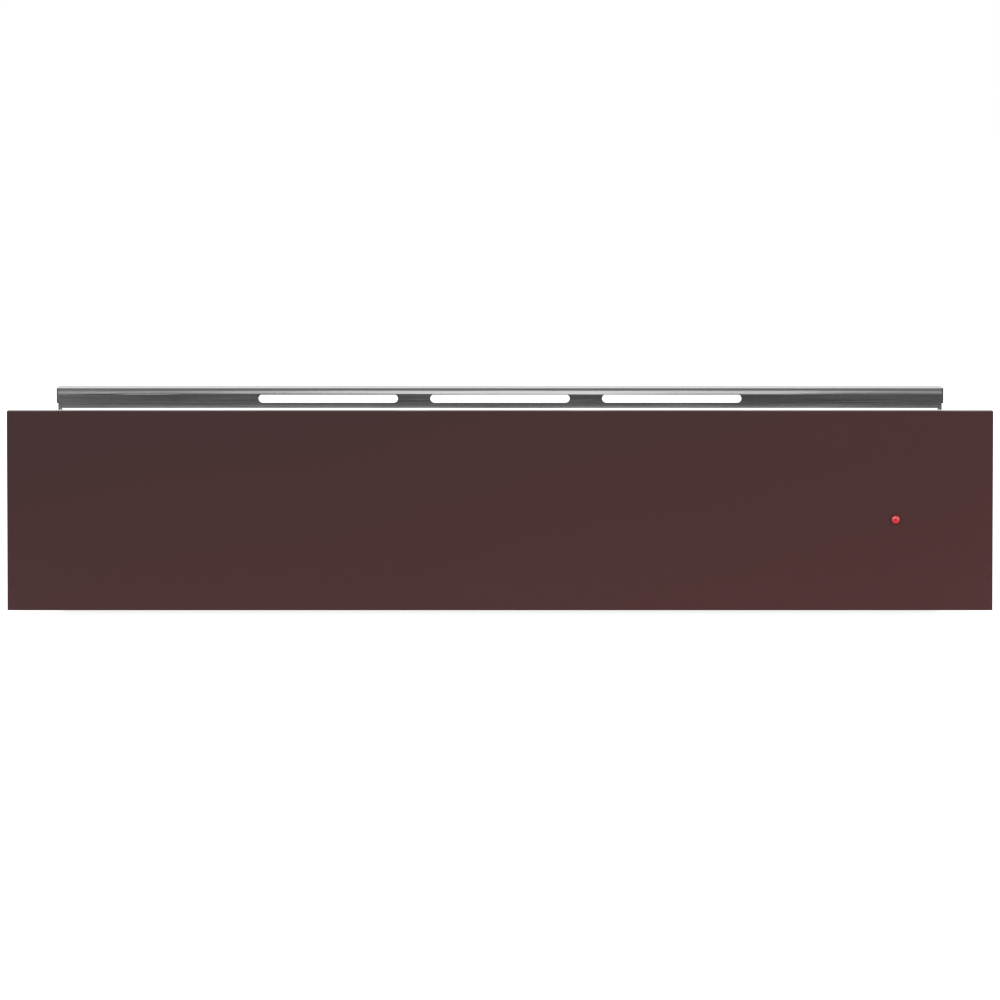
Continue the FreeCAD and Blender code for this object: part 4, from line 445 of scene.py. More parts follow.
# %% [markdown]
# ## Rounds that are smooth
# CAD hands its rounds over as narrow flats, which show as stripes on anything that shines. A copy of the
# node, with its loose corners merged and its level triangles dissolved into whole faces, can be shaded
# smooth across the shallow angles and stays sharp at the folds. Where a piece is touched or lit from the
# front, a very small bevel then gives each fold the thin line of light that the real one has.

# %% Smooth copies
same_place = 0.000002
level_angle = math.radians(0.4)
fold_angle = math.radians(50)


def only(piece):
    """Selects one piece alone and makes it the active one."""
    bpy.ops.object.select_all(action="DESELECT")
    piece.hide_set(False)
    piece.select_set(True)
    bpy.context.view_layer.objects.active = piece


def smooth_copy(name, angle=32, edge=0.0, steps=2):
    """A copy of a CAD node with merged corners, smooth rounds and softly broken edges."""
    node = nodes[name]
    only(node)
    bpy.ops.object.duplicate()
    piece = bpy.context.object
    piece.name = name + "_finished"
    del piece["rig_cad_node"]
    bpy.ops.object.mode_set(mode="EDIT")
    bpy.ops.mesh.select_all(action="SELECT")
    bpy.ops.mesh.remove_doubles(threshold=same_place)
    bpy.ops.mesh.dissolve_limited(angle_limit=level_angle)
    bpy.ops.object.mode_set(mode="OBJECT")
    if edge:
        bevel = piece.modifiers.new("edge", "BEVEL")
        bevel.width, bevel.segments = edge, steps
        bevel.limit_method, bevel.angle_limit = "ANGLE", fold_angle
        bpy.ops.object.modifier_apply(modifier="edge")
    if angle:
        bpy.ops.object.shade_smooth_by_angle(angle=math.radians(angle))
        piece.modifiers.new("flat_faces", "WEIGHTED_NORMAL").keep_sharp = True
        bpy.ops.object.modifier_apply(modifier="flat_faces")
    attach(piece, node["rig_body"])
    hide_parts(name)
    return piece


smoothed = [
    "front_rail", "warming_tray", "lamp_body", "fan_impeller", "fan_motor", "fan_bearing", "cable_gland",
    "mains_grommet", "spring_guide", "rubber_buffers", "thermal_cutout", "thermostat_spindle", "latch_pin",
    "striker_pin", "fan_housing", "latch_hook", "latch_spring", "feet", "thermostat", "heater_clips",
    "motor_rotor",
]
for side in ("left", "right"):
    smoothed += [f"runner_{member}_{side}" for member in ("outer", "middle", "inner")]
    smoothed += [f"ball_cage_{row}_{side}" for row in ("outer", "inner")]
moulded_edge, sheet_edge = 0.2 * MM, 0.1 * MM
finished = {name: smooth_copy(name) for name in smoothed}
for name in ("temperature_knob", "power_switch", "power_rocker"):
    finished[name] = smooth_copy(name, edge=moulded_edge)
for name in ("front_panel", "control_fascia"):
    finished[name] = smooth_copy(name, angle=0, edge=sheet_edge)
print(len(finished), "nodes have smooth copies")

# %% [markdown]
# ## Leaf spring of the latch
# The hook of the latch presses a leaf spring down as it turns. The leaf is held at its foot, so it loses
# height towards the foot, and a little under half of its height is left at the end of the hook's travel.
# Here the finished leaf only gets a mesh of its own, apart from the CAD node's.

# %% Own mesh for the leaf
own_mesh(finished["latch_spring"])

# %% [markdown]
# ## Painted reflection on the top fold of the front
# A thin white line runs along the top of the front. Its upper fold is given a pale colour, a painted
# reflection of the white surroundings that the fold mirrors at a grazing angle. The fold belongs to the same
# sheet, so the faces that look up get a second material, behind a cut where the paint ends.

# %% Upper fold with a painted reflection
paint_wrap, fold_depth, facing_up = 7 * MM, 0.5 * MM, 0.95
only(finished["front_panel"])
bpy.ops.object.mode_set(mode="EDIT")
bpy.ops.mesh.select_all(action="SELECT")
bpy.ops.mesh.bisect(plane_co=(0, panel_low.y + paint_wrap, 0), plane_no=(0, 1, 0))
bpy.ops.object.mode_set(mode="OBJECT")
# Painted reflection: the pale colour stands in for the white that the top face mirrors at a grazing angle.
fold_painted_reflection = make_moulded("fold_painted_reflection", (0.88, 0.88, 0.87), 0.4, 900, 0.00001, 0.02)
front = finished["front_panel"].data
front.materials.append(fold_painted_reflection)
upper = [
    face for face in front.polygons
    if face.normal.z > facing_up and face.center.z > panel_high.z - fold_depth
    and face.center.y > panel_low.y + paint_wrap
]
for face in upper:
    face.material_index = len(front.materials) - 1
print(len(upper), "faces of the upper fold")

# %% [markdown]
# ## New pieces
# A new piece starts as one of Blender's basic shapes, and is then shaped further. Its place, turn and size
# are written into its mesh at once, as they are in the pieces from CAD, so a joint moves both alike.

# %% Basic shapes
def settle(piece):
    """Writes a piece's place, turn and size into its mesh."""
    only(piece)
    bpy.ops.object.transform_apply(location=True, rotation=True, scale=True)
    return piece


def added(shape, **sizes):
    """A new piece from one of Blender's basic shapes."""
    bpy.ops.object.select_all(action="DESELECT")
    shape(**sizes)
    return settle(bpy.context.object)


def block(middle, size):
    """A plain block, given by its middle and its size along each axis."""
    return added(bpy.ops.mesh.primitive_cube_add, size=1, location=middle, scale=size)


# %% [markdown]
# ## Balls of the runners
# A runner rolls on hardened balls that sit in windows of a plastic cage. They are true spheres, so one
# is made smooth and set at every ball's place, which the middle of each CAD ball gives.

# %% Middles of the CAD balls
def separate_middles(node):
    """The middle of each loose solid of a CAD node, found by the places that its triangles share."""
    mesh = bmesh.new()
    mesh.from_mesh(node.data)
    bmesh.ops.remove_doubles(mesh, verts=mesh.verts, dist=same_place)
    left, middles = set(mesh.verts), []
    while left:
        group, waiting = [], [left.pop()]
        while waiting:
            vertex = waiting.pop()
            group.append(vertex)
            for edge in vertex.link_edges:
                other = edge.other_vert(vertex)
                if other in left:
                    left.remove(other)
                    waiting.append(other)
        low = Vector([min(v.co[i] for v in group) for i in range(3)])
        high = Vector([max(v.co[i] for v in group) for i in range(3)])
        middles.append((low + high) / 2)
    mesh.free()
    return middles


# %% A copy at each place
def copies_at(model, places, name):
    """One piece made of a copy of the model at each place, given as matrices."""
    made = []
    for place in places:
        copy = model.copy()
        copy.data = model.data.copy()
        copy.data.transform(place)
        bpy.context.scene.collection.objects.link(copy)
        made.append(copy)
    bpy.ops.object.select_all(action="DESELECT")
    for copy in made:
        copy.select_set(True)
    bpy.context.view_layer.objects.active = made[0]
    bpy.ops.object.join()
    made[0].name = name
    return made[0]


# %% Balls
ball_radius = 1.6 * MM
ball_model = added(bpy.ops.mesh.primitive_uv_sphere_add, segments=20, ring_count=12, radius=ball_radius)
bpy.ops.object.shade_smooth()
ball_model.data.materials.append(ball_steel)
for side in ("left", "right"):
    for row in ("outer", "inner"):
        node = nodes[f"balls_{row}_{side}"]
        places = [Matrix.Translation(middle) for middle in separate_middles(node)]
        balls = copies_at(ball_model, places, f"balls_{row}_{side}_round")
        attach(balls, node["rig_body"])
        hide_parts(node.name)
        print(balls.name, len(places), "balls")
bpy.data.objects.remove(ball_model)

# %% [markdown]
# ## Rivets and screws
# The housing is riveted at its rear corners and spot-welded along its foot, and the runners are riveted to
# its walls. What can be taken apart is screwed: the rear cover and the ledge. A rivet head is a low dome:
# a disc whose upper edge is bevelled in steps. A screw head has a cross recess, cut with a boolean.

# %% Heads with a round edge
looks_up = 0.9


def round_upper_edge(piece, offset, steps):
    """Bevels the edges round the faces that look straight up."""
    bpy.ops.object.mode_set(mode="EDIT")
    bpy.ops.mesh.select_all(action="DESELECT")
    mesh = bmesh.from_edit_mesh(piece.data)
    for face in mesh.faces:
        face.select = face.normal.z > looks_up
    bmesh.update_edit_mesh(piece.data)
    bpy.ops.mesh.bevel(offset=offset, segments=steps, affect="EDGES")
    bpy.ops.object.mode_set(mode="OBJECT")
    bpy.ops.object.shade_smooth_by_angle(angle=math.radians(40))


def round_head(radius, height, crown, material, sides=24):
    """A disc that stands on z = 0 with its upper edge rounded."""
    head = added(
        bpy.ops.mesh.primitive_cylinder_add, vertices=sides, radius=radius, depth=height,
        location=(0, 0, height / 2),
    )
    round_upper_edge(head, crown, 4)
    head.data.materials.append(material)
    return head


# %% Cross recess
def cross_recess(head, reach, width, low, high):
    """Cuts a cross into a head, from a height upwards."""
    for size in ((reach * 2, width), (width, reach * 2)):
        bar = block((0, 0, (low + high) / 2), (*size, high - low))
        only(head)
        cut = head.modifiers.new("cut", "BOOLEAN")
        cut.operation, cut.object, cut.solver = "DIFFERENCE", bar, "EXACT"
        bpy.ops.object.modifier_apply(modifier="cut")
        bpy.data.objects.remove(bar)
    return head


# %% One rivet, one weld and one screw
def turned(place, direction):
    """A matrix that stands a model on a surface: its z axis along the surface's outward direction."""
    return Matrix.Translation(Vector(place)) @ Vector(direction).to_track_quat("Z", "Y").to_matrix().to_4x4()


rivet = round_head(2.6 * MM, 0.9 * MM, 0.8 * MM, clip_steel)
weld = round_head(2.2 * MM, 0.12 * MM, 0.1 * MM, zinc_steel, sides=16)
screw_head = round_head(3.1 * MM, 1.9 * MM, 1.2 * MM, clip_steel)
screw = cross_recess(screw_head, reach=1.7 * MM, width=0.6 * MM, low=0.8 * MM, high=3 * MM)
print("rivet, weld and screw made")

# %% Rivets on the housing
wall_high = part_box("side_wall_right")[1]
runner_low, runner_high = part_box("runner_outer_right")
runner_z = (runner_low.z + runner_high.z) / 2
runner_rivets, corner_rivets, corner_inset = (-0.225, -0.03, 0.165), (0.018, 0.045, 0.078), 7 * MM
weld_start, side_step, rear_step, weld_z = -0.235, 0.056, 0.058, 10 * MM
spots = []
for sign in (-1, 1):
    outside = wall_high.x * sign
    for y in runner_rivets:
        spots.append(turned((outside, y, runner_z), (sign, 0, 0)))
    for z in corner_rivets:
        spots.append(turned((outside, wall_high.y - corner_inset, z), (sign, 0, 0)))
rivets = copies_at(rivet, spots, "housing_rivets")
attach(rivets, "housing")
dots = []
for sign in (-1, 1):
    for k in range(9):
        dots.append(turned((wall_high.x * sign, weld_start + side_step * k, weld_z), (sign, 0, 0)))
for k in range(-4, 5):
    dots.append(turned((rear_step * k, wall_high.y, weld_z), (0, 1, 0)))
welds = copies_at(weld, dots, "spot_welds")
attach(welds, "housing")
print(len(spots), "rivets", len(dots), "spot welds")

# %% Screws
cover_low, cover_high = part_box("rear_cover")
ledge_low, ledge_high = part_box("control_fascia")
upward = (0, 0, 1)
cover_columns, cover_line = (-0.235, -0.08, 0.08, 0.235), cover_low.y + 14 * MM
ledge_columns, ledge_line = (-0.24, -0.08, 0.08, 0.24), ledge_low.y + 8 * MM
cover_screws = [turned((x, cover_line, cover_high.z), upward) for x in cover_columns]
ledge_screws = [turned((x, ledge_line, ledge_high.z), upward) for x in ledge_columns]
top_screws = copies_at(screw, cover_screws + ledge_screws, "cover_screws")
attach(top_screws, "drawer")
print(len(cover_screws) + len(ledge_screws), "screws")
for model in (rivet, weld, screw):
    bpy.data.objects.remove(model)

# %% [markdown]
# ## Lens of the pilot lamp
# CAD gives the lens a slanted edge. The real one is a small dome, which is what makes the spark of light
# at its upper left. A dome is a slice of a large ball, so a sphere is cut by a plane, its open rim is drawn
# back into a rod, and the rod's end is closed.

# %% Domed lens
lens_low, lens_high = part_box("lamp_lens")
lens_radius = (lens_high.x - lens_low.x) / 2
lens_length, lens_crown = lens_high.y - lens_low.y, 1.3 * MM


def domed_rod(radius, length, crown, material, sides=40):
    """A rod that stands on z = 0 and ends in a slice of a ball, as high as the crown."""
    ball = (radius ** 2 + crown ** 2) / (2 * crown)
    rim = length - crown
    rod = added(
        bpy.ops.mesh.primitive_uv_sphere_add, segments=sides, ring_count=sides, radius=ball,
        location=(0, 0, length - ball),
    )
    bpy.ops.object.mode_set(mode="EDIT")
    bpy.ops.mesh.select_all(action="SELECT")
    bpy.ops.mesh.bisect(plane_co=(0, 0, rim), plane_no=(0, 0, 1), clear_inner=True)
    bpy.ops.mesh.select_all(action="DESELECT")
    mesh = bmesh.from_edit_mesh(rod.data)
    for edge in mesh.edges:
        if edge.is_boundary:
            edge.select_set(True)
    bmesh.update_edit_mesh(rod.data)
    bpy.ops.mesh.extrude_region_move(TRANSFORM_OT_translate={"value": (0, 0, -rim)})
    bpy.ops.mesh.edge_face_add()
    bpy.ops.mesh.select_all(action="SELECT")
    bpy.ops.mesh.normals_make_consistent(inside=False)
    bpy.ops.object.mode_set(mode="OBJECT")
    bpy.ops.object.shade_smooth_by_angle(angle=math.radians(40))
    rod.data.materials.append(material)
    return rod


dome = domed_rod(lens_radius, lens_length, lens_crown, lamp_red)
lens_middle = ((lens_low.x + lens_high.x) / 2, lens_high.y, (lens_low.z + lens_high.z) / 2)
dome.data.transform(turned(lens_middle, (0, -1, 0)))
dome.name = "lamp_lens_dome"
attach(dome, "drawer")
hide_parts("lamp_lens")
print("lens", round(2 * lens_radius / MM, 2), "mm across")

# %% [markdown]
# ## Dial and switch marks
# The ledge carries plain white marks: ticks and numbers round the knob, and the usual line and ring on
# the rocker. Printed ink is a tenth of a millimetre thick, so each mark is a very thin solid. The rocker's
# two wings slope, so a mark is made flat at the origin and laid on its wing by the wing's own direction.

# %% White ink
ink = make_moulded("white_ink", (0.75, 0.75, 0.73), 0.55, 1200, 0.00001)
ink_thickness = 0.1 * MM
knob_low, knob_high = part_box("temperature_knob")
knob_middle = (knob_low + knob_high) / 2
knob_radius = (knob_high.x - knob_low.x) / 2


def flat_bar(middle, length, width, turn):
    """A thin bar on a level surface, with its ends cut square, turned about its own middle."""
    bar = block((0, 0, ink_thickness / 2), (width, length, ink_thickness))
    bar.data.transform(Matrix.Translation(middle) @ Matrix.Rotation(turn, 4, "Z"))
    bar.data.materials.append(ink)
    return bar


def written(words, size, middle):
    """Generic figures as thin solids, flat on a level surface."""
    bpy.ops.object.select_all(action="DESELECT")
    bpy.ops.object.text_add(location=(0, 0, 0))
    text = bpy.context.object
    text.data.body, text.data.size, text.data.extrude = words, size, ink_thickness / 2
    text.data.align_x, text.data.align_y = "CENTER", "CENTER"
    bpy.ops.object.convert(target="MESH")
    figure = bpy.context.object
    figure.data.transform(Matrix.Translation((middle[0], middle[1], middle[2] + ink_thickness / 2)))
    figure.data.materials.clear()
    figure.data.materials.append(ink)
    return figure


# %% Pieces made one
def joined(parts, name):
    """Several objects made into one piece, under the first one's new name."""
    bpy.ops.object.select_all(action="DESELECT")
    for part in parts:
        part.select_set(True)
    bpy.context.view_layer.objects.active = parts[0]
    bpy.ops.object.join()
    parts[0].name = name
    return parts[0]


# %% Scale round the knob
marks = []
settings = ["0", "1", "2", "3", "4", "5"]
knob_travel = 270
tick_length, tick_width, tick_gap = 3.2 * MM, 0.8 * MM, 3.2 * MM
figure_size, figure_gap = 6 * MM, 8.2 * MM
dial_middle = Vector((knob_middle.x, knob_middle.y, ledge_high.z))
for k, word in enumerate(settings):
    turn = math.radians(90 - knob_travel * k / (len(settings) - 1))
    outward = Vector((math.cos(turn), math.sin(turn), 0))
    tick = dial_middle + outward * (knob_radius + tick_gap)
    marks.append(flat_bar(tick, tick_length, tick_width, turn - math.radians(90)))
    marks.append(written(word, figure_size, dial_middle + outward * (knob_radius + figure_gap)))
scale = joined(marks, "dial_scale")
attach(scale, "drawer")
print("dial marks", len(marks))

# %% Pointer on the knob
pointer_length, pointer_width, pointer_from_middle = 11 * MM, 1.4 * MM, 8 * MM
pointer_middle = (knob_middle.x, knob_middle.y + pointer_from_middle, knob_high.z)
pointer = flat_bar(pointer_middle, pointer_length, pointer_width, 0)
pointer.name = "knob_pointer"
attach(pointer, "knob")

# %% Line and ring on the rocker
def stood_on(face):
    """A matrix that lays a mark flat on a face of the rocker, with the mark's y axis across the switch."""
    across = Vector((0, 1, 0))
    axes = Matrix((across.cross(face.normal), across, face.normal)).transposed()
    return Matrix.Translation(face.center) @ axes.to_4x4()


line_length, line_width = 4 * MM, 0.9 * MM
ring_radius, ring_line, ring_flatness = 1.7 * MM, 0.4 * MM, 0.25
upper_faces = [face for face in finished["power_rocker"].data.polygons if face.normal.z > looks_up]
wings = sorted(upper_faces, key=lambda face: face.area)[-2:]
off_wing, on_wing = sorted(wings, key=lambda face: -face.center.x)
line = flat_bar((0, 0, 0), line_length, line_width, 0)
line.data.transform(stood_on(on_wing))
ring = added(
    bpy.ops.mesh.primitive_torus_add, major_radius=ring_radius, minor_radius=ring_line,
    major_segments=32, minor_segments=6,
)
ring.scale.z = ring_flatness
settle(ring)
ring.data.transform(stood_on(off_wing))
ring.data.materials.append(ink)
rocker_marks = joined([line, ring], "rocker_marks")
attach(rocker_marks, "rocker")
print("rocker marks at", [round(face.center.x, 4) for face in (on_wing, off_wing)])

# %% [markdown]
# ## Mineral wool mat
# Under the heater's reflector lies a mat of mineral wool that keeps the heat out of the tub. It is cut from
# a roll, so its faces are a little uneven and its edges are soft. A fine grid gets its thickness, its rim is
# bevelled round, and a cloud pattern pushes the surface in and out by a few tenths of a millimetre.

# %% Wool mat
wool_low, wool_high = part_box("insulation_mat")
wool_size = wool_high - wool_low
spare, wool_rim, wool_waves = 0.5 * MM, 2.2 * MM, 0.9 * MM
bpy.ops.object.select_all(action="DESELECT")
bpy.ops.mesh.primitive_grid_add(
    x_subdivisions=72, y_subdivisions=56, size=1,
    location=((wool_low.x + wool_high.x) / 2, (wool_low.y + wool_high.y) / 2, wool_high.z - spare),
)
mat = bpy.context.object
mat.name = "wool_mat"
mat.scale = (wool_size.x - 2 * spare, wool_size.y - 2 * spare, 1)
settle(mat)
clouds = bpy.data.textures.new("wool_clouds", "CLOUDS")
clouds.noise_scale = 0.022
thick = mat.modifiers.new("thick", "SOLIDIFY")
thick.thickness, thick.offset = wool_size.z - 2 * spare, -1
soft_rim = mat.modifiers.new("soft_rim", "BEVEL")
soft_rim.width, soft_rim.segments, soft_rim.angle_limit = wool_rim, 4, math.radians(60)
uneven_faces = mat.modifiers.new("uneven_faces", "DISPLACE")
uneven_faces.texture, uneven_faces.strength, uneven_faces.mid_level = clouds, wool_waves, 0.5
for step in ("thick", "soft_rim", "uneven_faces"):
    bpy.ops.object.modifier_apply(modifier=step)
bpy.ops.object.shade_smooth()
mat.data.materials.append(wool)
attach(mat, "drawer")
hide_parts("insulation_mat")
print("wool mat", [round(v, 4) for v in mat.dimensions])

# %% [markdown]
# ## Tubular heater
# The heater is one steel tube, bent round three times, with a resistance wire in powder inside. A Bezier
# curve with a round bevel makes such a tube: a half-round bend is two quarter circles, and a quarter circle
# is right when its handles are 0.55 of the radius long. Each end has a ceramic bead and a terminal pin.

# %% Way of the heater's tube
heater_low, heater_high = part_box("heater_element")
heater_points = [vertex.co for vertex in nodes["heater_element"].data.vertices]
near_middle = 20 * MM
middle_rear = max(point.y for point in heater_points if abs(point.x) < near_middle)
flat_half = (heater_high.z - heater_low.z) / 2
tube_z = (heater_low.z + heater_high.z) / 2
outer_lane = heater_high.x - flat_half
inner_lane = outer_lane / 3
bend = inner_lane
front_bend, rear_bend = heater_low.y + flat_half + bend, middle_rear - flat_half - bend
quarter_circle = 0.5523
handle = bend * quarter_circle


def bend_points(x, y, way):
    """The three points of a half-round bend that starts at a lane and goes on to the next one."""
    tip = y + way * bend
    return [
        ((x, y), (x, y - way * handle), (x, y + way * handle)),
        ((x + bend, tip), (x + bend - handle, tip), (x + bend + handle, tip)),
        ((x + 2 * bend, y), (x + 2 * bend, y + way * handle), (x + 2 * bend, y - way * handle)),
    ]


def straight_end(x, y, way):
    """The first or last point of the tube, in a list of its own."""
    return [((x, y), (x, y - way * handle), (x, y + way * handle))]


stations = (
    straight_end(-outer_lane, heater_high.y, -1) + bend_points(-outer_lane, front_bend, -1)
    + bend_points(-inner_lane, rear_bend, 1) + bend_points(inner_lane, front_bend, -1)
    + straight_end(outer_lane, heater_high.y, 1)
)
print("points along the tube", len(stations))


# %% Tube of the heater
def round_path(name, radius, roundness):
    """A curve with a round bevel and closed ends."""
    path = bpy.data.curves.new(name, "CURVE")
    path.dimensions = "3D"
    path.bevel_depth, path.bevel_resolution, path.use_fill_caps = radius, roundness, True
    return path


def swept(path, name, material):
    """A beveled curve turned into a mesh with smooth sides."""
    bpy.context.scene.collection.objects.link(bpy.data.objects.new(name, path))
    only(bpy.data.objects[name])
    bpy.ops.object.convert(target="MESH")
    piece = bpy.context.object
    bpy.ops.object.shade_smooth_by_angle(angle=math.radians(50))
    piece.data.materials.append(material)
    return piece


tube_radius = 3.25 * MM
tube_path = round_path("heater_path", tube_radius, 5)
line = tube_path.splines.new("BEZIER")
line.bezier_points.add(len(stations) - 1)
line.resolution_u = 12
for point, (middle, before, after) in zip(line.bezier_points, stations):
    point.handle_left_type = point.handle_right_type = "FREE"
    point.co, point.handle_left, point.handle_right = (*middle, tube_z), (*before, tube_z), (*after, tube_z)
tube = swept(tube_path, "heater_tube_round", heater_tube)
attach(tube, "drawer")
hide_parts("heater_element")
print("heater tube", [round(v, 4) for v in tube.dimensions])

# %% Terminals of the heater
ceramic = make_moulded("ceramic", (0.74, 0.72, 0.66), 0.6, 700, 0.00003, 0.05)
bead = round_head(4.0 * MM, 4 * MM, 0.8 * MM, ceramic, sides=28)
pin = round_head(1.3 * MM, 9 * MM, 0.4 * MM, clip_steel, sides=16)
terminal = joined([bead, pin], "terminal_model")
ends = [turned((x, heater_high.y, tube_z), (0, 1, 0)) for x in (-outer_lane, outer_lane)]
terminals = copies_at(terminal, ends, "heater_terminals")
bpy.data.objects.remove(terminal)
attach(terminals, "drawer")
print("terminals", len(ends))

# %% [markdown]
# ## Wiring loom
# The wires run from the terminal block along the left side of the tub to the switch, in a round sleeve that
# is tied at even steps. The sleeve follows a smooth curve through the tub's corners; one tie is made as a
# short band with a small head, and copied along the runs.

# %% Sleeve
loom_low, loom_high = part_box("wiring_loom")
loom_radius, half_bundle = 2.0 * MM, 1.8 * MM
loom_z = (loom_low.z + loom_high.z) / 2
side_x, front_y = loom_low.x + half_bundle, loom_low.y + half_bundle
rear_y = loom_high.y - half_bundle
block_gap, lead = 1 * MM, 30 * MM
block_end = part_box("terminal_block")[0].x - block_gap
route = [
    (block_end, rear_y), (side_x + lead, rear_y), (side_x, rear_y), (side_x, rear_y - lead),
    (side_x, front_y + lead), (side_x, front_y), (side_x + lead, front_y), (loom_high.x, front_y),
]
loom_path = round_path("loom_path", loom_radius, 4)
line = loom_path.splines.new("NURBS")
line.points.add(len(route) - 1)
for point, (x, y) in zip(line.points, route):
    point.co = (x, y, loom_z, 1)
line.order_u, line.use_endpoint_u, line.resolution_u = 3, True, 10
loom = swept(loom_path, "loom_sleeve", sleeve)
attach(loom, "drawer")
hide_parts("wiring_loom")
print("sleeve", [round(v, 4) for v in loom.dimensions])

# %% Ties
band_width, band_wall = 2.2 * MM, 0.4 * MM
band = added(
    bpy.ops.mesh.primitive_cylinder_add, vertices=24, radius=loom_radius, depth=band_width,
    end_fill_type="NOTHING",
)
wall = band.modifiers.new("wall", "SOLIDIFY")
wall.thickness, wall.offset = band_wall, 1
bpy.ops.object.modifier_apply(modifier="wall")
head_size, head_lift, head_edge = (2.6 * MM, 1.8 * MM, 3 * MM), 0.8 * MM, 0.4 * MM
head = block((0, loom_radius + head_lift, 0), head_size)
rounded = head.modifiers.new("rounded", "BEVEL")
rounded.width, rounded.segments = head_edge, 2
bpy.ops.object.modifier_apply(modifier="rounded")
tie = joined([band, head], "tie_model")
bpy.ops.object.shade_smooth_by_angle(angle=math.radians(35))
tie.data.materials.clear()
tie.data.materials.append(black_plastic)
tie_step, side_start, front_start = 80, -190, -200
side_ties = [(side_start + tie_step * k) * MM for k in range(5)]
front_ties = [(front_start + tie_step * k) * MM for k in range(4)]
along_side = [turned((side_x, y, loom_z), (0, 1, 0)) for y in side_ties]
along_front = [turned((x, front_y, loom_z), (1, 0, 0)) for x in front_ties]
ties = copies_at(tie, along_side + along_front, "loom_ties")
bpy.data.objects.remove(tie)
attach(ties, "drawer")
print("ties", len(along_side) + len(along_front))

# %% [markdown]
# ## Winding of the fan motor
# A small fan motor has one coil round the lower limb of its iron, on a bobbin with a cheek at each end. Coil
# and cheeks are blocks with round edges, because the iron hides their insides.
# The enamelled wire is copper; its turns lie side by side, so the lines of the finish follow one axis.

# %% Winding
copper = make_metal("copper_wire", (0.56, 0.24, 0.11), 0.3)
relief(copper, pattern(copper, 10, 2.0, (3, 120, 3)), 0.0002, 1.0)
motor_low, motor_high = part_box("fan_motor")
motor_y = (motor_low.y + motor_high.y) / 2
coil_half, coil_top, coil_edge = 14.2 * MM, 33.0 * MM, 3 * MM
cheek, cheek_edge = 1.4 * MM, 0.4 * MM


def soft_block(low, high, edge, material, name):
    """A block between two corners with round edges."""
    low, high = Vector(low), Vector(high)
    piece = block((low + high) / 2, high - low)
    piece.name = name
    bpy.ops.object.mode_set(mode="EDIT")
    bpy.ops.mesh.select_all(action="SELECT")
    bpy.ops.mesh.bevel(offset=edge, segments=4, affect="EDGES")
    bpy.ops.object.mode_set(mode="OBJECT")
    bpy.ops.object.shade_smooth_by_angle(angle=math.radians(35))
    piece.data.materials.append(material)
    return piece


coil_low = (motor_low.x - 0.6 * MM, motor_y - coil_half, motor_low.z + 0.3 * MM)
coil_high = (motor_high.x - 0.4 * MM, motor_y + coil_half, coil_top + 0.6 * MM)
winding = soft_block(coil_low, coil_high, coil_edge, copper, "motor_winding")
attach(winding, "drawer")
cheeks = []
for middle in (motor_y - coil_half, motor_y + coil_half):
    low = (motor_low.x - 1.2 * MM, middle - cheek / 2, motor_low.z + 0.1 * MM)
    high = (motor_high.x + 0.2 * MM, middle + cheek / 2, coil_top + 1.2 * MM)
    cheeks.append(soft_block(low, high, cheek_edge, black_plastic, "cheek"))
bobbin = joined(cheeks, "bobbin_cheeks")
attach(bobbin, "drawer")
print("winding on the motor", [round(v, 4) for v in winding.dimensions])

# %% [markdown]
# ## Ribs of the rubber mat
# Plates would slide on a bare floor when the drawer opens, so the mat has low ribs across the travel.
# One rib is shaped, with its upper edges bevelled, and an array repeats it along the depth.

# %% Ribs
mat_low, mat_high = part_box("non_slip_mat")
rib_pitch, rib_width, rib_height, rib_margin = 6 * MM, 2.2 * MM, 0.7 * MM, 8 * MM
rib_edge = 0.35 * MM
rib_length = mat_high.x - mat_low.x - 2 * rib_margin
rib_count = int((mat_high.y - mat_low.y - 2 * rib_margin) / rib_pitch)
first_rib = (0, mat_low.y + rib_margin, mat_high.z + rib_height / 2)
ribs = block(first_rib, (rib_length, rib_width, rib_height))
ribs.name = "mat_ribs"
round_upper_edge(ribs, rib_edge, 3)
rows = ribs.modifiers.new("rows", "ARRAY")
rows.use_relative_offset, rows.use_constant_offset = False, True
rows.constant_offset_displace = (0, rib_pitch, 0)
rows.count = rib_count
bpy.ops.object.modifier_apply(modifier="rows")
ribs.data.materials.append(mat_rubber)
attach(ribs, "drawer")
print("ribs", rib_count)

# %% [markdown]
# ## Floor
# The floor is a plain white sheet that lights the object from below a little and takes its shadow. For
# the camera it is as white as paper, because its shader glows for the camera's own rays alone.

# %% Floor
def make_stage_white():
    """Matt white that the camera sees as white as paper."""
    white = finish("stage_white", (0.86, 0.86, 0.86), 0.9, Specular_IOR_Level=0.1)
    tree = white.node_tree
    shader = tree.nodes["Principled BSDF"]
    shader.inputs["Emission Color"].default_value = (1, 1, 1, 1)
    path = tree.nodes.new("ShaderNodeLightPath")
    paper_glow = 0.92
    seen = tree.nodes.new("ShaderNodeMath")
    seen.operation = "MULTIPLY"
    seen.inputs[1].default_value = paper_glow
    tree.links.new(path.outputs["Is Camera Ray"], seen.inputs[0])
    tree.links.new(seen.outputs["Value"], shader.inputs["Emission Strength"])
    return white


stage_white = make_stage_white()
bpy.ops.mesh.primitive_plane_add(size=30, location=(0, 0, 0))
floor = bpy.context.object
floor.name = "floor"
floor.data.materials.append(stage_white)
print("white floor")

# %% [markdown]
# ## Cards for the reflections
# Bare steel shows what stands round it. Cards that only reflections see give the rail its dark front, the
# dark line along its bend and the bright middle of that bend, and the lamp's lens its spark, as a
# photographer's black and white cards do.

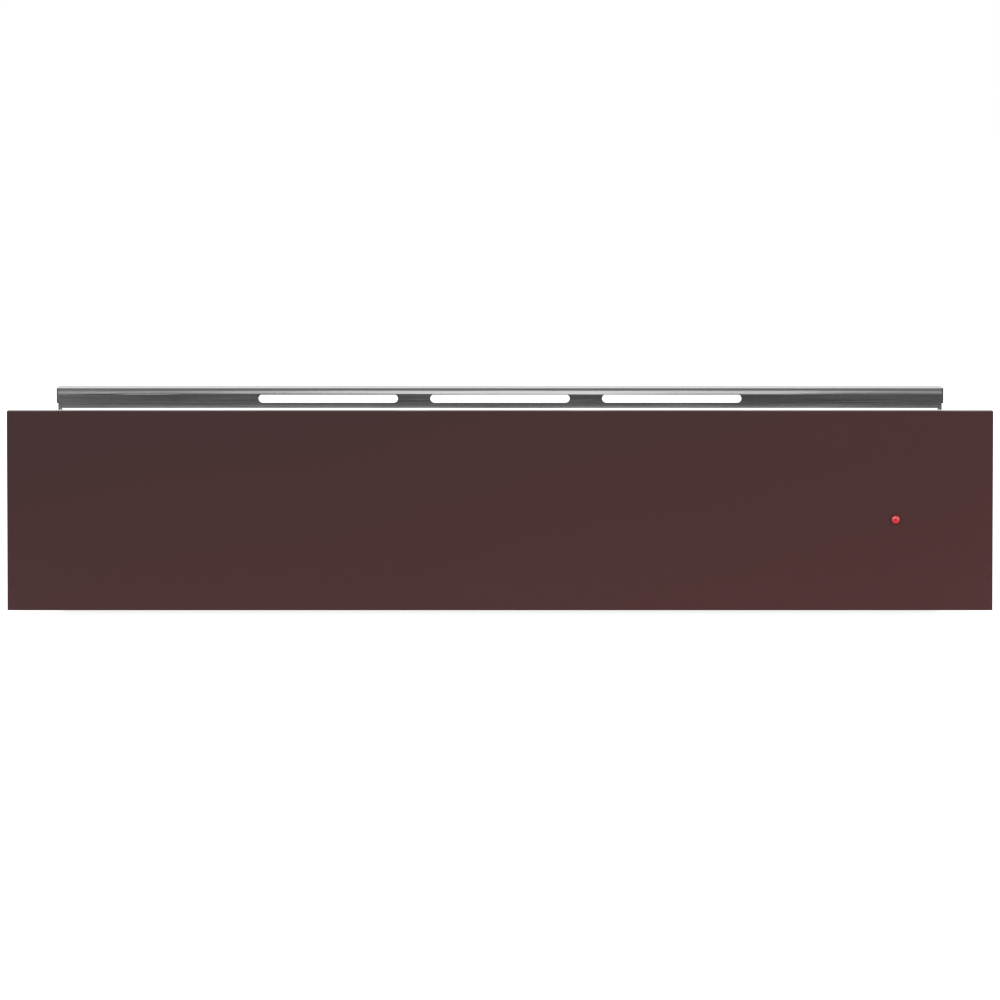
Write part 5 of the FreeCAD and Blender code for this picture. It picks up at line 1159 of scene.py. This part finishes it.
# %% Cards that only shiny surfaces show
def add_card(name, grey, middle, size, tilt):
    """A sheet that is seen in reflections alone: it neither shows nor shades anything."""
    tone = finish(f"stage_{name}", (0, 0, 0), 1.0, Specular_IOR_Level=0.0)
    shader = tone.node_tree.nodes["Principled BSDF"]
    shader.inputs["Emission Color"].default_value = (grey, grey, grey, 1)
    shader.inputs["Emission Strength"].default_value = 1.0
    bpy.ops.mesh.primitive_plane_add(size=1, location=middle, rotation=(math.radians(tilt), 0, 0))
    card = bpy.context.object
    card.name = name
    card.scale = (*size, 1)
    card.data.materials.append(tone)
    card.visible_camera = False
    card.visible_diffuse = False
    card.visible_shadow = False


add_card("dark_front_left", 0.29, (-2.05, -3.6, 1.4), (4, 2.8), 90)
add_card("dark_front_right", 0.17, (2.0, -3.65, 1.4), (4.2, 2.8), 90)
add_card("dark_mat", 0.08, (0, -2.0, 0.002), (8, 3.2), 0)
add_card("grey_above", 0.28, (0, 1.2, 1.5), (8, 2.6), -35)
add_card("grey_top", 0.3, (0, -0.3, 3.0), (8, 1.6), 0)
add_card("grey_front_high", 0.42, (0, -2.2, 3.4), (8, 3.6), 50)
add_card("grey_behind_left", 0.3, (-1.95, 3.0, 0.6), (2.9, 1.1), 90)
add_card("white_strip", 1.5, (0.03, -1.225, 1.175), (0.36, 1.79), 54)
add_card("white_spark", 1.9, (-1.1, -2.3, 1.9), (1.0, 1.0), 50)
print("nine cards")

# %% [markdown]
# ## Background and light
# The background is as white as paper where it is seen, straight, in a shiny surface or through a clear one.
# As a light it is weaker, so that it doesn't wash the shadows out. Two soft lamps stand in front, one on
# each side.

# %% World
lit_strength, seen_strength = 0.62, 1.0
world = bpy.data.worlds.new("world")
bpy.context.scene.world = world
world.use_nodes = True
world_tree = world.node_tree
background = world_tree.nodes["Background"]
background.inputs["Color"].default_value = (1, 1, 1, 1)
background.inputs["Strength"].default_value = lit_strength
paper = world_tree.nodes.new("ShaderNodeBackground")
paper.inputs["Color"].default_value = (1, 1, 1, 1)
paper.inputs["Strength"].default_value = seen_strength
rays = world_tree.nodes.new("ShaderNodeLightPath").outputs
camera_or_gloss = two_in_one(world_tree, "MAXIMUM", rays["Is Camera Ray"], rays["Is Glossy Ray"])
seen = two_in_one(world_tree, "MAXIMUM", camera_or_gloss, rays["Is Transmission Ray"])
either = world_tree.nodes.new("ShaderNodeMixShader")
world_tree.links.new(seen, either.inputs["Fac"])
world_tree.links.new(background.outputs["Background"], either.inputs[1])
world_tree.links.new(paper.outputs["Background"], either.inputs[2])
world_tree.links.new(either.outputs["Shader"], world_tree.nodes["World Output"].inputs["Surface"])


# %% Lamps
drawer_middle = Vector((0, 0, 0.07))


def add_lamp(name, place, width, height, power):
    """A soft lamp, a sheet of light that looks at the middle of the drawer."""
    data = bpy.data.lights.new(name, "AREA")
    data.shape = "RECTANGLE"
    data.size, data.size_y, data.energy = width, height, power
    lamp = bpy.data.objects.new(name, data)
    lamp.location = place
    lamp.rotation_euler = (drawer_middle - Vector(place)).to_track_quat("-Z", "Y").to_euler()
    bpy.context.scene.collection.objects.link(lamp)


add_lamp("lamp_front_left", (-2.3, -2.6, 1.9), 3.4, 2.8, 31)
add_lamp("lamp_front_right", (2.3, -2.5, 1.7), 3.4, 2.8, 34)
print("two lamps")
